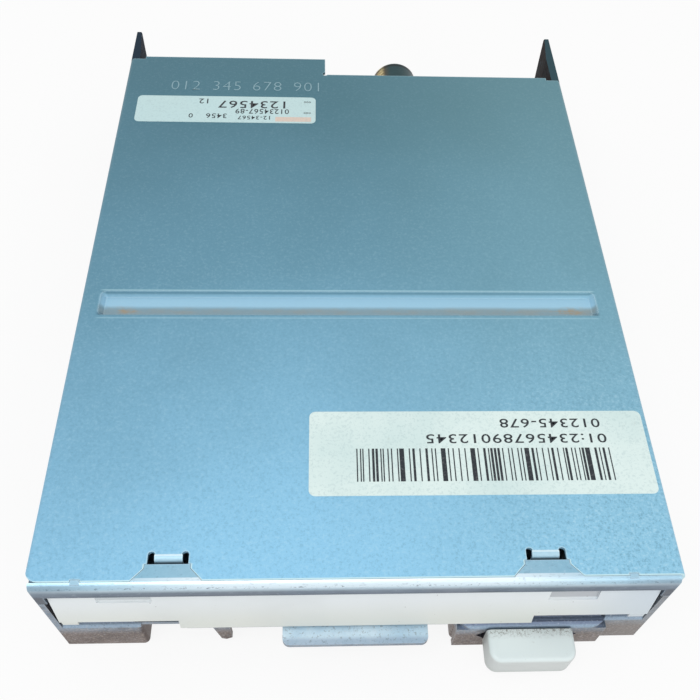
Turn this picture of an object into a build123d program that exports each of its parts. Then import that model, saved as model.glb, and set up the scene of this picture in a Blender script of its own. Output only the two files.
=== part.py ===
from build123d import *
import math
import os

# A 3.5 inch floppy disk drive without its bezel, in millimetres, +Z up.
# X runs right as seen from the front, Y runs rearward, and the front faces -Y.
# Places are measured from the chassis's front plane, centre line and base.
# Each piece is moved once, on export, so the origin is the middle of the base.

# Overall size
drive_width = 101.6
drive_height = 25.4
drive_depth = 145.0
button_reach = 7.2
frame_y = (button_reach - drive_depth) / 2

# General fits
press_gap = 0.02
run_gap = 0.05
seat_gap = 0.1
loose_gap = 0.3

# How far cutters run past a face, and how far welded shapes run into each other
cut_spare = 1.0
weld = 1.0

# Sheet metal
wall_gauge = 1.0
cover_gauge = 0.6
bar_gauge = 0.8
bend_radius = 1.2
slide_gauge = 0.8
holder_gauge = 0.8

# Labels and cover plane
label_gauge = 0.1
cover_top = drive_height - label_gauge
cover_under = cover_top - cover_gauge
cover_half = drive_width / 2
cover_side_gap = 0.2

# Chassis walls, deck and flanges
wall_out = cover_half - cover_gauge - cover_side_gap
wall_in = wall_out - wall_gauge
wall_head_gap = 0.1
wall_top = cover_under - wall_head_gap
deck_top = 9.0
deck_under = deck_top - wall_gauge
deck_inset = 17.0
ear_corner = 1.0
ear_leaf_drop = 12.0
ear_taper_length = 9.0
ear_tip_gauge = 0.9
flange_width = 8.0
flange_length = 18.0
mount_bore = 1.25
side_mount_z = 5.0
side_mount_front = 22.5
side_mount_pitch = 90.0
base_mount_inset = 4.0
base_mount_front = 30.0
base_mount_pitch = 70.0

# Cover outline
cover_front = 1.0
ear_length = 12.0
cover_step = 6.0
cover_step_x = -5.0
cover_step_radius = 0.6
cover_corner_radius = 2.5
cover_bend = 1.0
cover_short_skirt = 2.0
cover_long_skirt = 6.5
cover_long_front = 14.0
cover_long_inset = 9.0
cover_notch_left = 3.5
cover_notch_right = 3.4
cover_notch_depth = 0.9
channel_inset_left = 3.6
channel_inset_right = 4.2
channel_front = 53.4
channel_rear = 59.2
channel_depth = 1.0
channel_slope = 38.0
channel_corner = 1.1
snap_z = 20.6
snap_radius = 1.4
snap_depth = 0.5
snap_places = (30.0, 110.0)

# Hooks that hold the cover's front edge
hook_places = (-29.4, 29.2)
hook_base = 10.8
hook_neck = 7.0
hook_neck_y = 3.0
hook_slot_front = 3.8
hook_slot_rear = 5.3
hook_slot_width = 6.3
hook_ear_radius = 0.55
hook_tongue_width = 4.3
hook_tongue_radius = 1.2
hook_tongue_drop = 1.6
seam_gap = 0.06
pip_inset_left = 7.8
pip_inset_right = 8.3
pip_width = 1.5
pip_depth = 0.4

# Front crossbar
bar_face_drop = 3.85
lug_width = 1.5
lug_drop = 6.3
ledge_inset = 1.0

# Labels
small_label_size = (40.1, 9.2)
small_label_inset = 3.5
small_label_front = 109.0
large_label_size = (57.7, 16.4)
large_label_inset = 1.1
large_label_front = 15.2
label_corner = 1.1

# Front skirts, tongue and tooth
skirt_left_in = -36.1
skirt_right_in = 16.6
skirt_round = 0.9
skirt_return = 5.0
skirt_reach = 3.0
front_lip = 1.8
lip_left = -28.6
bare_edge = 0.5
tongue_left = -12.5
tongue_right = 11.8
tongue_reach = 3.8
tongue_corner = 1.2
tooth_left = -24.4
tooth_right = -21.5
tooth_drop = 7.6
tooth_radius = 0.8
tooth_lean = 0.4
collar_left = 16.9
collar_right = 42.5
collar_reach = 1.3
collar_rise = 0.3
collar_corner = 2.6
collar_foot = 1.6
collar_toe = 0.9
ridge_width = 0.7
ridge_rise = 0.25
ridge_inset = 1.0
ridge_count = 2

# Eject button
button_x = 29.2
button_width = 14.7
button_bottom = 2.7
button_top = 8.8
button_corner = 2.0
button_edge = 0.8
button_slot_width = 17.6
button_slot_height = 4.9
stem_width = 11.0
stem_height = 3.9
stem_z = 5.2
stem_wall = 2.0
stem_hollow_front = 4.0
stem_end = 23.5
stem_block_front = 17.0
button_travel = 4.5

# Disk, and how far it drops when it is loaded
disk_side_room = 5.8
disk_thick = 3.3
disk_loaded = 11.3
disk_lift = 2.5
disk_hub_offset = 46.0
disk_stop_gap = 1.0
spindle_y = 49.0

# Slide plate
slide_gap = 0.3
slide_side_gap = 1.0
slide_open_half = 32.0
slide_front = 20.0
slide_bridge = 12.0
slide_length = 73.0
slide_flange_top = 18.3
flange_places = (26.5, 82.5)
slide_flange_length = 14.0
tab_y = 20.4
tab_half = 3.0
tab_bottom = 3.9
stud_x = 38.5
stud_places = (44.0, 84.0)
stud_radius = 1.2
stud_head_radius = 2.1
stud_head = 0.45

# Disk holder
holder_front = 13.6
holder_rear_inset = 3.0
holder_side_gap = 0.6
holder_lip = 4.4
holder_top_gap = 0.3
holder_hub_opening = 13.5
holder_head_slot_half = 8.5
holder_head_slot_front = 64.0
lift_left = -14.5
lift_right = -10.3
lift_length = 12.0
pin_places = (24.0, 80.0)
pin_radius = 0.9
pin_drop_z = 2.0
pin_end_inset = 0.2
ramp_gap = 0.25

# Shutter lever
lever_x = 36.0
lever_y = 78.0
lever_arm = 24.0
lever_swing = 50.0
lever_gauge = 0.8
lever_lift = 0.3
lever_half = 2.0
lever_boss = 3.2
finger_radius = 1.2
finger_reach = 3.6
lever_pin_radius = 1.0
lever_pin_rise = 4.0
lever_pin_head = 0.4
lever_slot_gap = 0.4

# Door flap
door_side_gap = 0.7
door_mid_half = 29.2
door_top = 20.5
door_top_y = 0.5
door_foot = 9.7
door_foot_y = -1.0
door_wing_foot = 12.5
door_gauge = 1.0
door_axis_y = 2.2
door_axis_z = 19.6
door_pin_radius = 0.7
door_arm_width = 1.6
door_arm_radius = 1.2
door_recess_depth = 0.35
door_recess_left = (7.2, 8.5, 2.0)
door_recess_right = (9.7, 8.0, 3.0)
door_end_foot_width = 2.6
door_end_foot_height = 2.1
door_edge = 0.35
door_pocket_length = 5.8

# Spindle motor
board_gauge = 1.2
motor_board_half = 32.0
motor_board_front = 24.0
motor_board_rear = 76.0
motor_screws = ((-28.0, 27.5), (28.0, 27.5), (-28.0, 72.0), (28.0, 72.0))
rotor_radius = 26.0
rotor_rim = 0.9
rotor_bottom = 1.2
rotor_gauge = 0.8
rotor_top = 6.2
rotor_boss_radius = 5.0
rotor_boss_height = 2.0
magnet_radial = 2.4
air_gap = 0.5
stator_teeth = 12
stator_ring_in = 8.0
stator_ring_out = 11.5
stator_z = 4.2
stator_gauge = 1.2
stator_tooth_width = 2.0
stator_tip_width = 6.6
stator_tip_length = 1.4
coil_length = 6.8
coil_thick = 0.9
coil_gap = 0.08
shaft_radius = 2.0
shaft_top_rise = 1.7
shaft_tip = 0.5
bearing_radius = 4.5
bearing_bottom = 4.6
bearing_flange_radius = 6.5
bearing_flange = 0.8
hub_radius = 12.5
hub_gauge = 0.9
hub_gap = 0.3
drive_pin_radius = 1.2
drive_pin_offset = 9.6
drive_pin_rise = 1.4
drive_pin_tip = 0.4

# Head carriage
track_travel = 14.8
track_outer = 39.5
head_to_bar = 25.5
bar_length = 8.0
neck_nose = 4.5
carriage_half = 29.0
carriage_top = 13.8
carriage_bottom = 9.4
carriage_edge = 0.3
carriage_neck_half = 6.0
carriage_neck_bottom = 8.3
carriage_neck_top = 10.2
deck_opening_half = 8.0
deck_opening_spare = 3.2
deck_opening_inset = 5.0
head_size = 6.0
head_rise = 1.5
head_edge = 0.3
arm_half = 7.0
arm_gauge = 1.0
arm_lift_gap = 0.5
arm_axis_inset = 4.0
arm_axis_z = 18.5
arm_pin_radius = 0.8
arm_knuckle_in = 4.2
arm_knuckle_out = 7.9
arm_knuckle_half = 1.5
arm_neck = 1.0
arm_rib = 0.3
ear_in = 8.3
ear_out = 9.8
ear_half = 2.5
ear_rise = 1.0
follower_offset = 3.4
arm_tab_reach = 17.0
arm_tab_half = 1.5
arm_tab_left = -14.0
guide_offset = 26.0
guide_z = 11.6
guide_radius = 1.5
clamp_run_gap = 1.2
clamp_length = 2.0
clamp_half = 2.6
clamp_foot = 1.0
clamp_screw_offset = 5.2
flag_reach = 35.0
flag_z = 12.2
flag_gauge = 0.8

# Stepper motor and lead screw
screw_x = 12.2
screw_z = 16.2
screw_radius = 1.2
screw_thread_radius = 0.35
screw_lead = 3.0
screw_pivot_radius = 0.6
screw_tail_radius = 0.9
screw_tail_length = 2.0
bearing_block_length = 2.0
thread_gap = 0.4
thread_end = 1.0
bearing_block_half = 2.5
bearing_block_rise = 1.5
stepper_radius = 5.3
stepper_length = 14.3
stepper_edge = 0.7
bush_radius = 1.7
bush_length = 1.2
bracket_gap = 0.7
bracket_gauge = 1.0
bracket_half = 8.0
bracket_top = 21.0
bracket_foot = 4.2
bracket_screw_offset = 5.6
follower_radius = 0.5
follower_post = 1.3

# Track sensor
sensor_width = 6.0
sensor_length = 4.5
sensor_inset = 0.5
sensor_height = 6.4
sensor_slot = 1.8
sensor_slot_depth = 4.0

# Sensing switches, their small boards and the access lamp
switch_y = 13.0
switch_places = (-38.5, -32.0, 38.5)
switch_half = 2.5
plunger_radius = 0.9
plunger_rise = 1.6
plunger_travel = 1.5
plunger_run = 0.08
plunger_edge = 0.45
small_board_gauge = 1.2
small_board_front = 8.0
small_board_rear = 19.0
small_boards = ((-44.0, -28.5), (35.8, 44.0))
switch_height = 3.4
lamp_x = -32.8
lamp_radius = 1.5
lamp_front = 3.4
lamp_edge = 0.75

# Main board and what stands on it
main_board_side_gap = 2.5
main_board_front = 84.0
main_board_inset = 2.0
main_board_gauge = 1.6
main_board_top = 4.8
board_tab_places = (91.0, 137.0)
board_tab_half = 3.0
board_tab_length = 7.0
board_screw_inset = 3.6
main_chip_size = 14.0
main_chip_place = (-14.0, 111.0)
main_chip_gauge = 1.4
driver_chip_size = (11.0, 7.5)
driver_chip_place = (20.0, 101.0)
driver_chip_gauge = 1.3
capacitor_places = ((-34.0, 98.0), (-34.0, 106.0), (3.0, 98.0), (34.0, 112.0), (6.0, 124.0), (-30.0, 124.0))
capacitor_size = (5.8, 3.2, 1.5)
pin_columns = 17
pin_pitch = 2.54
pin_width = 0.64
header_x = 6.0
header_inset = 10.0
header_depth = 2.6
header_margin = 0.5
header_lower_z = 6.1
header_upper_z = 8.64
header_reach = 0.6
header_tail_lower = 1.6
header_tail_upper = 3.8
power_x = -33.0
power_width = 11.6
power_height = 6.4
power_length = 12.6
power_wall = 0.9
power_back_wall = 2.7
power_pin_inset = 1.0
power_tail = 1.0
power_pitch = 2.5
power_pins_count = 4
flex_width = 8.0
flex_gauge = 0.16
flex_connector_length = 4.5
flex_connector_height = 1.6
flex_connector_margin = 1.0
flex_overlap = 3.5
flex_loop = 7.0

# Screws
screw_shank = 1.2
screw_head_radius = 2.1
screw_head = 1.3
small_head_radius = 1.8
slot_width = 0.5
slot_depth = 0.45

# Springs
wire_radius = 0.18
slide_spring_radius = 1.5
slide_spring_turns = 14
slide_spring_z = 5.2
spring_anchor_front = 39.2
spring_tab_y = 61.2
spring_tab_half = 2.0
spring_tab_bottom = 3.4
spring_straight = 0.6
spring_bend = 0.7
torsion_pitch = 0.85
door_spring_radius = 1.15
door_spring_turns = 3
lever_spring_radius = 1.7
lever_spring_turns = 2.25
arm_spring_radius = 1.5
arm_spring_turns = 4.25
arm_spring_leg = 4.5
spring_leg = 3.0

# Levels and places that follow from the sizes above
channel_left = -cover_half + channel_inset_left
channel_right = cover_half - channel_inset_right
pip_places = (-cover_half + pip_inset_left, cover_half - pip_inset_right)
small_label_x = -cover_half + small_label_inset + small_label_size[0] / 2
large_label_x = cover_half - large_label_inset - large_label_size[0] / 2
lug_in = wall_out - lug_width
lug_bottom = cover_top - lug_drop
skirt_left_out = -wall_out
skirt_right_out = wall_out
base_mount_x = wall_out - base_mount_inset
slide_half = wall_in - slide_side_gap
pin_end = wall_out - pin_end_inset
door_half = wall_in - door_side_gap
door_pocket_end = door_half - door_pocket_length
main_board_half = wall_in - main_board_side_gap
board_tab_in = wall_out - board_tab_length
board_screw_x = wall_in - board_screw_inset
disk_width = drive_width - 2 * disk_side_room
deck_rear = drive_depth - deck_inset
cover_rear = drive_depth - ear_length
cover_rear_right = cover_rear - cover_step
cover_long_rear = cover_rear - cover_long_inset
disk_edge = spindle_y + disk_hub_offset
slide_rear = slide_front + slide_length
holder_rear = disk_edge - holder_rear_inset
lift_rear = holder_rear + lift_length
head_y = spindle_y + track_outer
carriage_front = head_y + head_to_bar
carriage_rear = carriage_front + bar_length
carriage_neck_front = head_y - neck_nose
deck_opening_front = carriage_neck_front - track_travel - deck_opening_spare
deck_opening_rear = carriage_rear - deck_opening_inset
arm_front = carriage_neck_front
arm_axis_y = carriage_rear - arm_axis_inset
arm_tab_y = arm_axis_y - arm_tab_reach
bearing_block_front = disk_edge + disk_stop_gap
bearing_block_rear = bearing_block_front + bearing_block_length
rod_front = bearing_block_front
bracket_front = carriage_rear + bracket_gap
rod_rear = carriage_rear + clamp_run_gap + clamp_length
clamp_screw_x = guide_offset + clamp_screw_offset
clamp_foot_top = deck_top + clamp_foot
screw_front = bearing_block_rear + thread_gap
stepper_rear = bracket_front + bracket_gauge + stepper_length
sensor_rear = carriage_rear - sensor_inset
sensor_front = sensor_rear - sensor_length
main_board_rear = drive_depth - main_board_inset
header_front = main_board_rear - header_inset
header_end = main_board_rear + header_reach
power_rear = header_end
flex_start = carriage_front - loose_gap
slide_under = deck_top + slide_gap
slide_top = slide_under + slide_gauge
disk_raised = disk_loaded + disk_lift
disk_half = disk_width / 2
holder_in = disk_half + holder_side_gap
holder_out = holder_in + holder_gauge
lip_bottom = disk_raised - holder_gauge
plate_under = disk_raised + disk_thick + holder_top_gap
plate_top = plate_under + holder_gauge
pin_z = plate_under - pin_drop_z
arm_under = plate_top + arm_lift_gap
arm_top = arm_under + arm_gauge
lever_under = plate_top + lever_lift
lever_top = lever_under + lever_gauge
hub_under = deck_top + bearing_flange + hub_gap
hub_top = hub_under + hub_gauge
shaft_top = hub_top + shaft_top_rise
motor_board_under = deck_under - board_gauge
main_board_under = main_board_top - main_board_gauge
plunger_top = disk_loaded + plunger_rise
stator_tip_radius = rotor_radius - rotor_rim - magnet_radial - air_gap
collar_top = deck_top + collar_rise
half_turn = 180.0


def span(x0, x1, y0, y1, z0, z1):
    """Block between two corners."""
    centre = Pos((x0 + x1) / 2, (y0 + y1) / 2, (z0 + z1) / 2)
    return centre * Box(x1 - x0, y1 - y0, z1 - z0)


def post(x, y, radius, z0, z1):
    """Upright round bar."""
    return Pos(x, y, (z0 + z1) / 2) * Cylinder(radius, z1 - z0)


def rod_y(x, z, radius, y0, y1):
    """Round bar along Y."""
    return Pos(x, (y0 + y1) / 2, z) * Rot(90, 0, 0) * Cylinder(radius, y1 - y0)


def rod_x(y, z, radius, x0, x1):
    """Round bar along X."""
    return Pos((x0 + x1) / 2, y, z) * Rot(0, 90, 0) * Cylinder(radius, x1 - x0)


def both(shape):
    """A shape and its mirror image across the centre line."""
    return shape + mirror(shape, about=Plane.YZ)


def prism(points, z0, z1):
    """Upright prism over a polygon."""
    face = make_face(Polyline(*points, close=True))
    return Pos(0, 0, z0) * extrude(face, z1 - z0)


def side_prism(points, x0, x1):
    """Prism along X over a polygon of (y, z) points."""
    face = make_face(Polyline(*points, close=True))
    return extrude(Plane.YZ.offset(x0) * face, x1 - x0)


def slot_upright(x, y0, y1, radius, z0, z1):
    """Upright cutter for a slot along Y between two centres."""
    ends = post(x, y0, radius, z0, z1) + post(x, y1, radius, z0, z1)
    return ends + span(x - radius, x + radius, y0, y1, z0, z1)


def bent_strip(x0, x1, front, top, drop, reach, gauge, radius):
    """Sheet that runs back from a rounded front bend and turns down at it."""
    diagonal = math.sqrt(0.5)
    inner = radius - gauge
    bend_y = front + radius
    bend_z = top - radius
    low = top - drop
    back = front + reach
    outer_mid = (bend_y - radius * diagonal, bend_z + radius * diagonal)
    inner_mid = (bend_y - inner * diagonal, bend_z + inner * diagonal)
    outline = [
        Line((front, low), (front, bend_z)),
        ThreePointArc((front, bend_z), outer_mid, (bend_y, top)),
        Line((bend_y, top), (back, top)),
        Line((back, top), (back, top - gauge)),
        Line((back, top - gauge), (bend_y, top - gauge)),
        ThreePointArc((bend_y, top - gauge), inner_mid, (front + gauge, bend_z)),
        Line((front + gauge, bend_z), (front + gauge, low)),
        Line((front + gauge, low), (front, low)),
    ]
    face = Plane.YZ.offset(x0) * make_face(outline)
    return extrude(face, x1 - x0)


def corner_cut(x, y, radius, side_x, side_y, z0, z1):
    """Cutter that rounds an upright corner at (x, y); the sides point outward."""
    centre_x = x - side_x * radius
    centre_y = y - side_y * radius
    x_low, x_high = sorted((centre_x, x + side_x))
    y_low, y_high = sorted((centre_y, y + side_y))
    return span(x_low, x_high, y_low, y_high, z0, z1) - post(centre_x, centre_y, radius, z0, z1)


def pan_screw(x, y, seat_z, tip_z, head_radius):
    """Slotted screw whose head lies on seat_z and whose tip is at tip_z."""
    way = 1 if seat_z > tip_z else -1
    head_end = seat_z + way * screw_head
    head = post(x, y, head_radius, min(seat_z, head_end), max(seat_z, head_end))
    shank = post(x, y, screw_shank, min(seat_z, tip_z), max(seat_z, tip_z))
    slot_z = head_end - way * slot_depth
    low = min(slot_z, head_end + way)
    high = max(slot_z, head_end + way)
    slot = span(x - head_radius, x + head_radius, y - slot_width / 2, y + slot_width / 2, low, high)
    return head + shank - slot


def biarc(start, start_way, end, end_way):
    """Two arcs that join two points with the given directions."""
    chord = end - start
    ways = start_way + end_way
    spread = 2 * (1 - start_way.dot(end_way))
    along = chord.dot(ways)
    reach = (-along + math.sqrt(along ** 2 + spread * chord.dot(chord))) / spread
    first = start + start_way * reach
    second = end - end_way * reach
    middle = (first + second) * 0.5
    turn = (second - first).normalized()
    return [Edge.make_tangent_arc(start, start_way, middle), Edge.make_tangent_arc(middle, turn, end)]


def helix_point(radius, pitch, turn):
    """Point and direction on a helix about Z after some turns."""
    angle = 2 * math.pi * turn
    place = Vector(radius * math.cos(angle), radius * math.sin(angle), pitch * turn)
    slope = pitch / (2 * math.pi)
    way = Vector(-radius * math.sin(angle), radius * math.cos(angle), slope).normalized()
    return place, way


def helix_edges(radius, pitch, turns):
    """Quarter-turn biarcs along a helix about Z."""
    quarters = int(round(turns * 4))
    edges = []
    for step in range(quarters):
        start, start_way = helix_point(radius, pitch, step / 4)
        end, end_way = helix_point(radius, pitch, (step + 1) / 4)
        edges += biarc(start, start_way, end, end_way)
    return edges


def wire_form(edges, radius):
    """Round wire along a chain of edges."""
    path = Wire(edges)
    start = Plane(origin=path @ 0, z_dir=path % 0)
    return sweep(start * Circle(radius), path=path)


def torsion_spring(radius, turns, first_leg, last_leg):
    """Torsion spring about Z with two straight tangent legs."""
    edges = helix_edges(radius, torsion_pitch, turns)
    start, start_way = helix_point(radius, torsion_pitch, 0)
    end, end_way = helix_point(radius, torsion_pitch, turns)
    first = Edge.make_line(start - start_way * first_leg, start)
    last = Edge.make_line(end, end + end_way * last_leg)
    return wire_form([first] + edges + [last], wire_radius)


def tension_spring(radius, turns, length):
    """Helical spring along Z whose ends run straight along Z."""
    rise = Vector(0, 0, 1)
    pitch = (length - 2 * (spring_straight + spring_bend)) / turns
    coils = helix_edges(radius, pitch, turns)
    start, start_way = helix_point(radius, pitch, 0)
    end, end_way = helix_point(radius, pitch, turns)
    half_angle = math.radians(start_way.get_angle(rise)) / 2
    tangent = spring_bend * math.tan(half_angle)
    tail_start = start - (start_way + rise) * tangent
    tail_end = end + (end_way + rise) * tangent
    run = (length - (tail_end - tail_start).Z) / 2
    chain = [
        Edge.make_line(tail_start - rise * run, tail_start),
        Edge.make_tangent_arc(tail_start, rise, start),
        *coils,
        Edge.make_tangent_arc(end, end_way, tail_end),
        Edge.make_line(tail_end, tail_end + rise * run),
    ]
    print("slide spring gap between turns", round(pitch - 2 * wire_radius, 3))
    form = wire_form(chain, wire_radius)
    return Pos(0, 0, run - tail_start.Z) * form


def wall_holes(bore, y, z):
    """Cutter through both side walls."""
    return rod_x(y, z, bore, -wall_out - wall_gauge, wall_out + wall_gauge)


def make_chassis():
    """Deck, side walls, flanges, front skirts, tongue, tooth and button collar."""
    deck = span(-wall_in, wall_in, bend_radius, deck_rear, deck_under, deck_top)
    deck -= span(
        -deck_opening_half, deck_opening_half, deck_opening_front, deck_opening_rear, deck_under, deck_top
    )
    step_z = lug_bottom - seam_gap
    upper_wall = span(wall_in, wall_out, cover_front - seam_gap, drive_depth, step_z, wall_top)
    middle_wall = span(wall_in, wall_out, 0, drive_depth, deck_under, step_z)
    lower_wall = span(wall_in, wall_out, bend_radius, drive_depth, 0, deck_under)
    walls = both(upper_wall + middle_wall + lower_wall)
    ear_cut = side_prism(
        (
            (drive_depth - ear_corner, wall_top),
            (drive_depth, wall_top - ear_corner),
            (drive_depth + cut_spare, wall_top + cut_spare),
        ),
        -cover_half - cut_spare,
        cover_half + cut_spare,
    )
    body = deck + walls + make_ear_leaves() - ear_cut - ear_taper()
    for y in (base_mount_front, base_mount_front + base_mount_pitch):
        low = y - flange_length / 2
        high = y + flange_length / 2
        body += both(span(wall_out - flange_width, wall_out, low, high, 0, wall_gauge))
    for y in board_tab_places:
        low = y - board_tab_half
        high = y + board_tab_half
        tab_top = main_board_top + wall_gauge
        body += both(span(board_tab_in, wall_out, low, high, main_board_top, tab_top))
    body += make_front()
    body += make_spring_anchors()
    return body - chassis_cutters()


def make_ear_leaves():
    """Outer leaves of the rear ears, flush with the cover's sides."""
    low = wall_top - ear_leaf_drop
    left_start = cover_rear - cover_notch_depth + seam_gap
    right_start = cover_rear_right - cover_notch_depth + seam_gap
    left = span(-cover_half, -wall_out, left_start, drive_depth, low, wall_top)
    right = span(wall_out, cover_half, right_start, drive_depth, low, wall_top)
    return left + right


def ear_taper():
    """Cutter that thins the inner faces of both rear ears towards their tips."""
    start = drive_depth - ear_taper_length
    tip_in = cover_half - ear_tip_gauge
    low_in = wall_in - cut_spare
    end = drive_depth + cut_spare
    points = ((low_in, start), (wall_in, start), (tip_in, drive_depth), (tip_in, end), (low_in, end))
    return both(prism(points, wall_top - ear_leaf_drop, wall_top + cut_spare))


def make_front():
    """Bent front edge with its skirts, tongue, tooth and collar."""
    front = bare_deck_edge()
    for left, right, drop in (
        (skirt_left_out, skirt_left_in, deck_top),
        (lip_left, skirt_right_in, front_lip),
        (skirt_right_in, skirt_right_out, deck_top),
    ):
        front += bent_strip(left, right, 0, deck_top, drop, skirt_reach, wall_gauge, bend_radius)
    for x, side in ((skirt_left_in, -1), (skirt_right_in, 1)):
        near, far = sorted((x, x + side * wall_gauge))
        front += span(near, far, wall_gauge, skirt_return, 0, deck_under)
        front -= corner_cut(x, 0, skirt_round, -side, -1, -cut_spare, deck_under)
    tongue = span(tongue_left, tongue_right, -tongue_reach, bend_radius, deck_under, deck_top)
    for x, side in ((tongue_left, -1), (tongue_right, 1)):
        tongue -= corner_cut(x, -tongue_reach, tongue_corner, side, -1, deck_under, deck_top)
    front += tongue
    tip_z = deck_top - tooth_drop
    tip_x = (tooth_left + tooth_right) / 2 + tooth_lean
    tooth_face = make_face(
        Polyline(
            (tooth_left, deck_under),
            (tooth_right, deck_under),
            (tooth_right, tip_z + tooth_radius),
            (tip_x, tip_z),
            (tip_x - tooth_radius, tip_z + tooth_lean),
            close=True,
        )
    )
    front += extrude(Plane.XZ * tooth_face, -wall_gauge)
    return front + make_collar()


def bare_deck_edge():
    """Plain front edge of the deck between the left skirt and the lip."""
    return span(skirt_left_in - weld, lip_left + weld, bare_edge, skirt_reach, deck_under, deck_top)


def make_collar():
    """Raised plate round the eject button, stepped forward from the right skirt."""
    collar = bent_strip(
        collar_left,
        collar_right,
        -collar_reach,
        collar_top,
        collar_top,
        collar_reach + skirt_reach,
        wall_gauge,
        bend_radius,
    )
    behind = span(collar_left, collar_right, -collar_reach + wall_gauge, wall_gauge, collar_foot, deck_under)
    frame = collar + behind
    ridge_left = collar_left + ridge_inset
    ridge_right = collar_right - ridge_inset
    for number in range(1, ridge_count + 1):
        y = -collar_reach + bend_radius + number * ridge_width
        ridge = rod_x(y, collar_top - ridge_rise, ridge_width / 2, ridge_left, ridge_right)
        frame += ridge
    frame -= corner_cut(collar_left, -collar_reach, collar_corner, -1, -1, deck_under, drive_height)
    frame -= corner_cut(collar_right, -collar_reach, collar_corner, 1, -1, deck_under, drive_height)
    foot_cut = span(
        button_x,
        collar_right + cut_spare,
        -collar_reach - cut_spare,
        wall_gauge,
        -cut_spare,
        collar_toe,
    )
    return frame - foot_cut


def make_spring_anchors():
    """Tabs under the deck that hold the slide springs' front ends."""
    front = spring_anchor_front
    tab = span(
        stud_x - spring_tab_half,
        stud_x + spring_tab_half,
        front,
        front + slide_gauge,
        spring_tab_bottom,
        deck_under,
    )
    return both(tab)


def chassis_cutters():
    """Everything that is cut out of the chassis in one go."""
    far_side = wall_out + cut_spare
    cut = post(0, spindle_y, bearing_radius + press_gap, 0, drive_height)
    cut += span(
        button_x - tab_half - loose_gap,
        button_x + tab_half + loose_gap,
        tab_y - button_travel - loose_gap,
        tab_y + slide_gauge + loose_gap,
        deck_under,
        deck_top,
    )
    for side in (-1, 1):
        cut += span(
            side * stud_x - spring_tab_half - loose_gap,
            side * stud_x + spring_tab_half + loose_gap,
            spring_tab_y - button_travel - loose_gap,
            spring_tab_y + slide_gauge + loose_gap,
            deck_under,
            deck_top,
        )
        for y in (base_mount_front, base_mount_front + base_mount_pitch):
            cut += post(side * base_mount_x, y, mount_bore, 0, wall_gauge)
        for y in board_tab_places:
            cut += post(side * board_screw_x, y, screw_shank, main_board_top, deck_under - wall_gauge)
        for y in (rod_front + clamp_length / 2, rod_rear - clamp_length / 2):
            cut += post(side * clamp_screw_x, y, screw_shank, deck_under, deck_top)
        bracket_screw_x = screw_x + side * bracket_screw_offset
        cut += post(bracket_screw_x, bracket_screw_y(), screw_shank, deck_under, deck_top)
        for y in stud_places:
            cut += post(side * stud_x, y, stud_radius, deck_under, deck_top)
    for x, y in motor_screws:
        cut += post(x, y, screw_shank, deck_under, deck_top)
    for x in switch_places:
        cut += post(x, switch_y, plunger_radius + loose_gap, deck_under, deck_top)
    for y in (side_mount_front, side_mount_front + side_mount_pitch):
        cut += wall_holes(mount_bore, y, side_mount_z)
    for y in snap_places:
        cut += wall_holes(snap_radius + seat_gap, y, snap_z)
    for y in pin_places:
        reach = pin_radius + ramp_gap
        near = wall_in - cut_spare
        far = wall_out + cut_spare
        guide = rod_x(y, pin_z, reach, near, far)
        guide += rod_x(y, pin_z - disk_lift, reach, near, far)
        guide += span(near, far, y - reach, y + reach, pin_z - disk_lift, pin_z)
        cut += both(guide)
    cut += rod_x(door_axis_y, door_axis_z, door_pin_radius + run_gap, -far_side, far_side)
    return cut + button_opening()


def bracket_screw_y():
    """Line of the stepper bracket's two screws."""
    return bracket_front + bracket_gauge + bracket_foot / 2


def button_opening():
    """Slot with pointed ends that the eject button's stem passes through."""
    half = button_slot_width / 2
    tall = button_slot_height / 2
    face = make_face(
        Polyline(
            (button_x - half, stem_z),
            (button_x - half + tall, stem_z + tall),
            (button_x + half - tall, stem_z + tall),
            (button_x + half, stem_z),
            (button_x + half - tall, stem_z - tall),
            (button_x - half + tall, stem_z - tall),
            close=True,
        )
    )
    slab = extrude(Plane.XZ.offset(-skirt_return) * face, skirt_return + collar_reach + cut_spare)
    return slab


def hook_outline(x, gap):
    """Trapezoid tab of the crossbar, or its notch in the cover when gap is wider."""
    base = hook_base / 2 + gap
    neck = hook_neck / 2 + gap
    return (
        (x - base, cover_front - seam_gap),
        (x - base, cover_front + gap / 2),
        (x - neck, hook_neck_y + gap),
        (x - neck, hook_slot_front - seam_gap + gap),
        (x + neck, hook_slot_front - seam_gap + gap),
        (x + neck, hook_neck_y + gap),
        (x + base, cover_front + gap / 2),
        (x + base, cover_front - seam_gap),
    )


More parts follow.
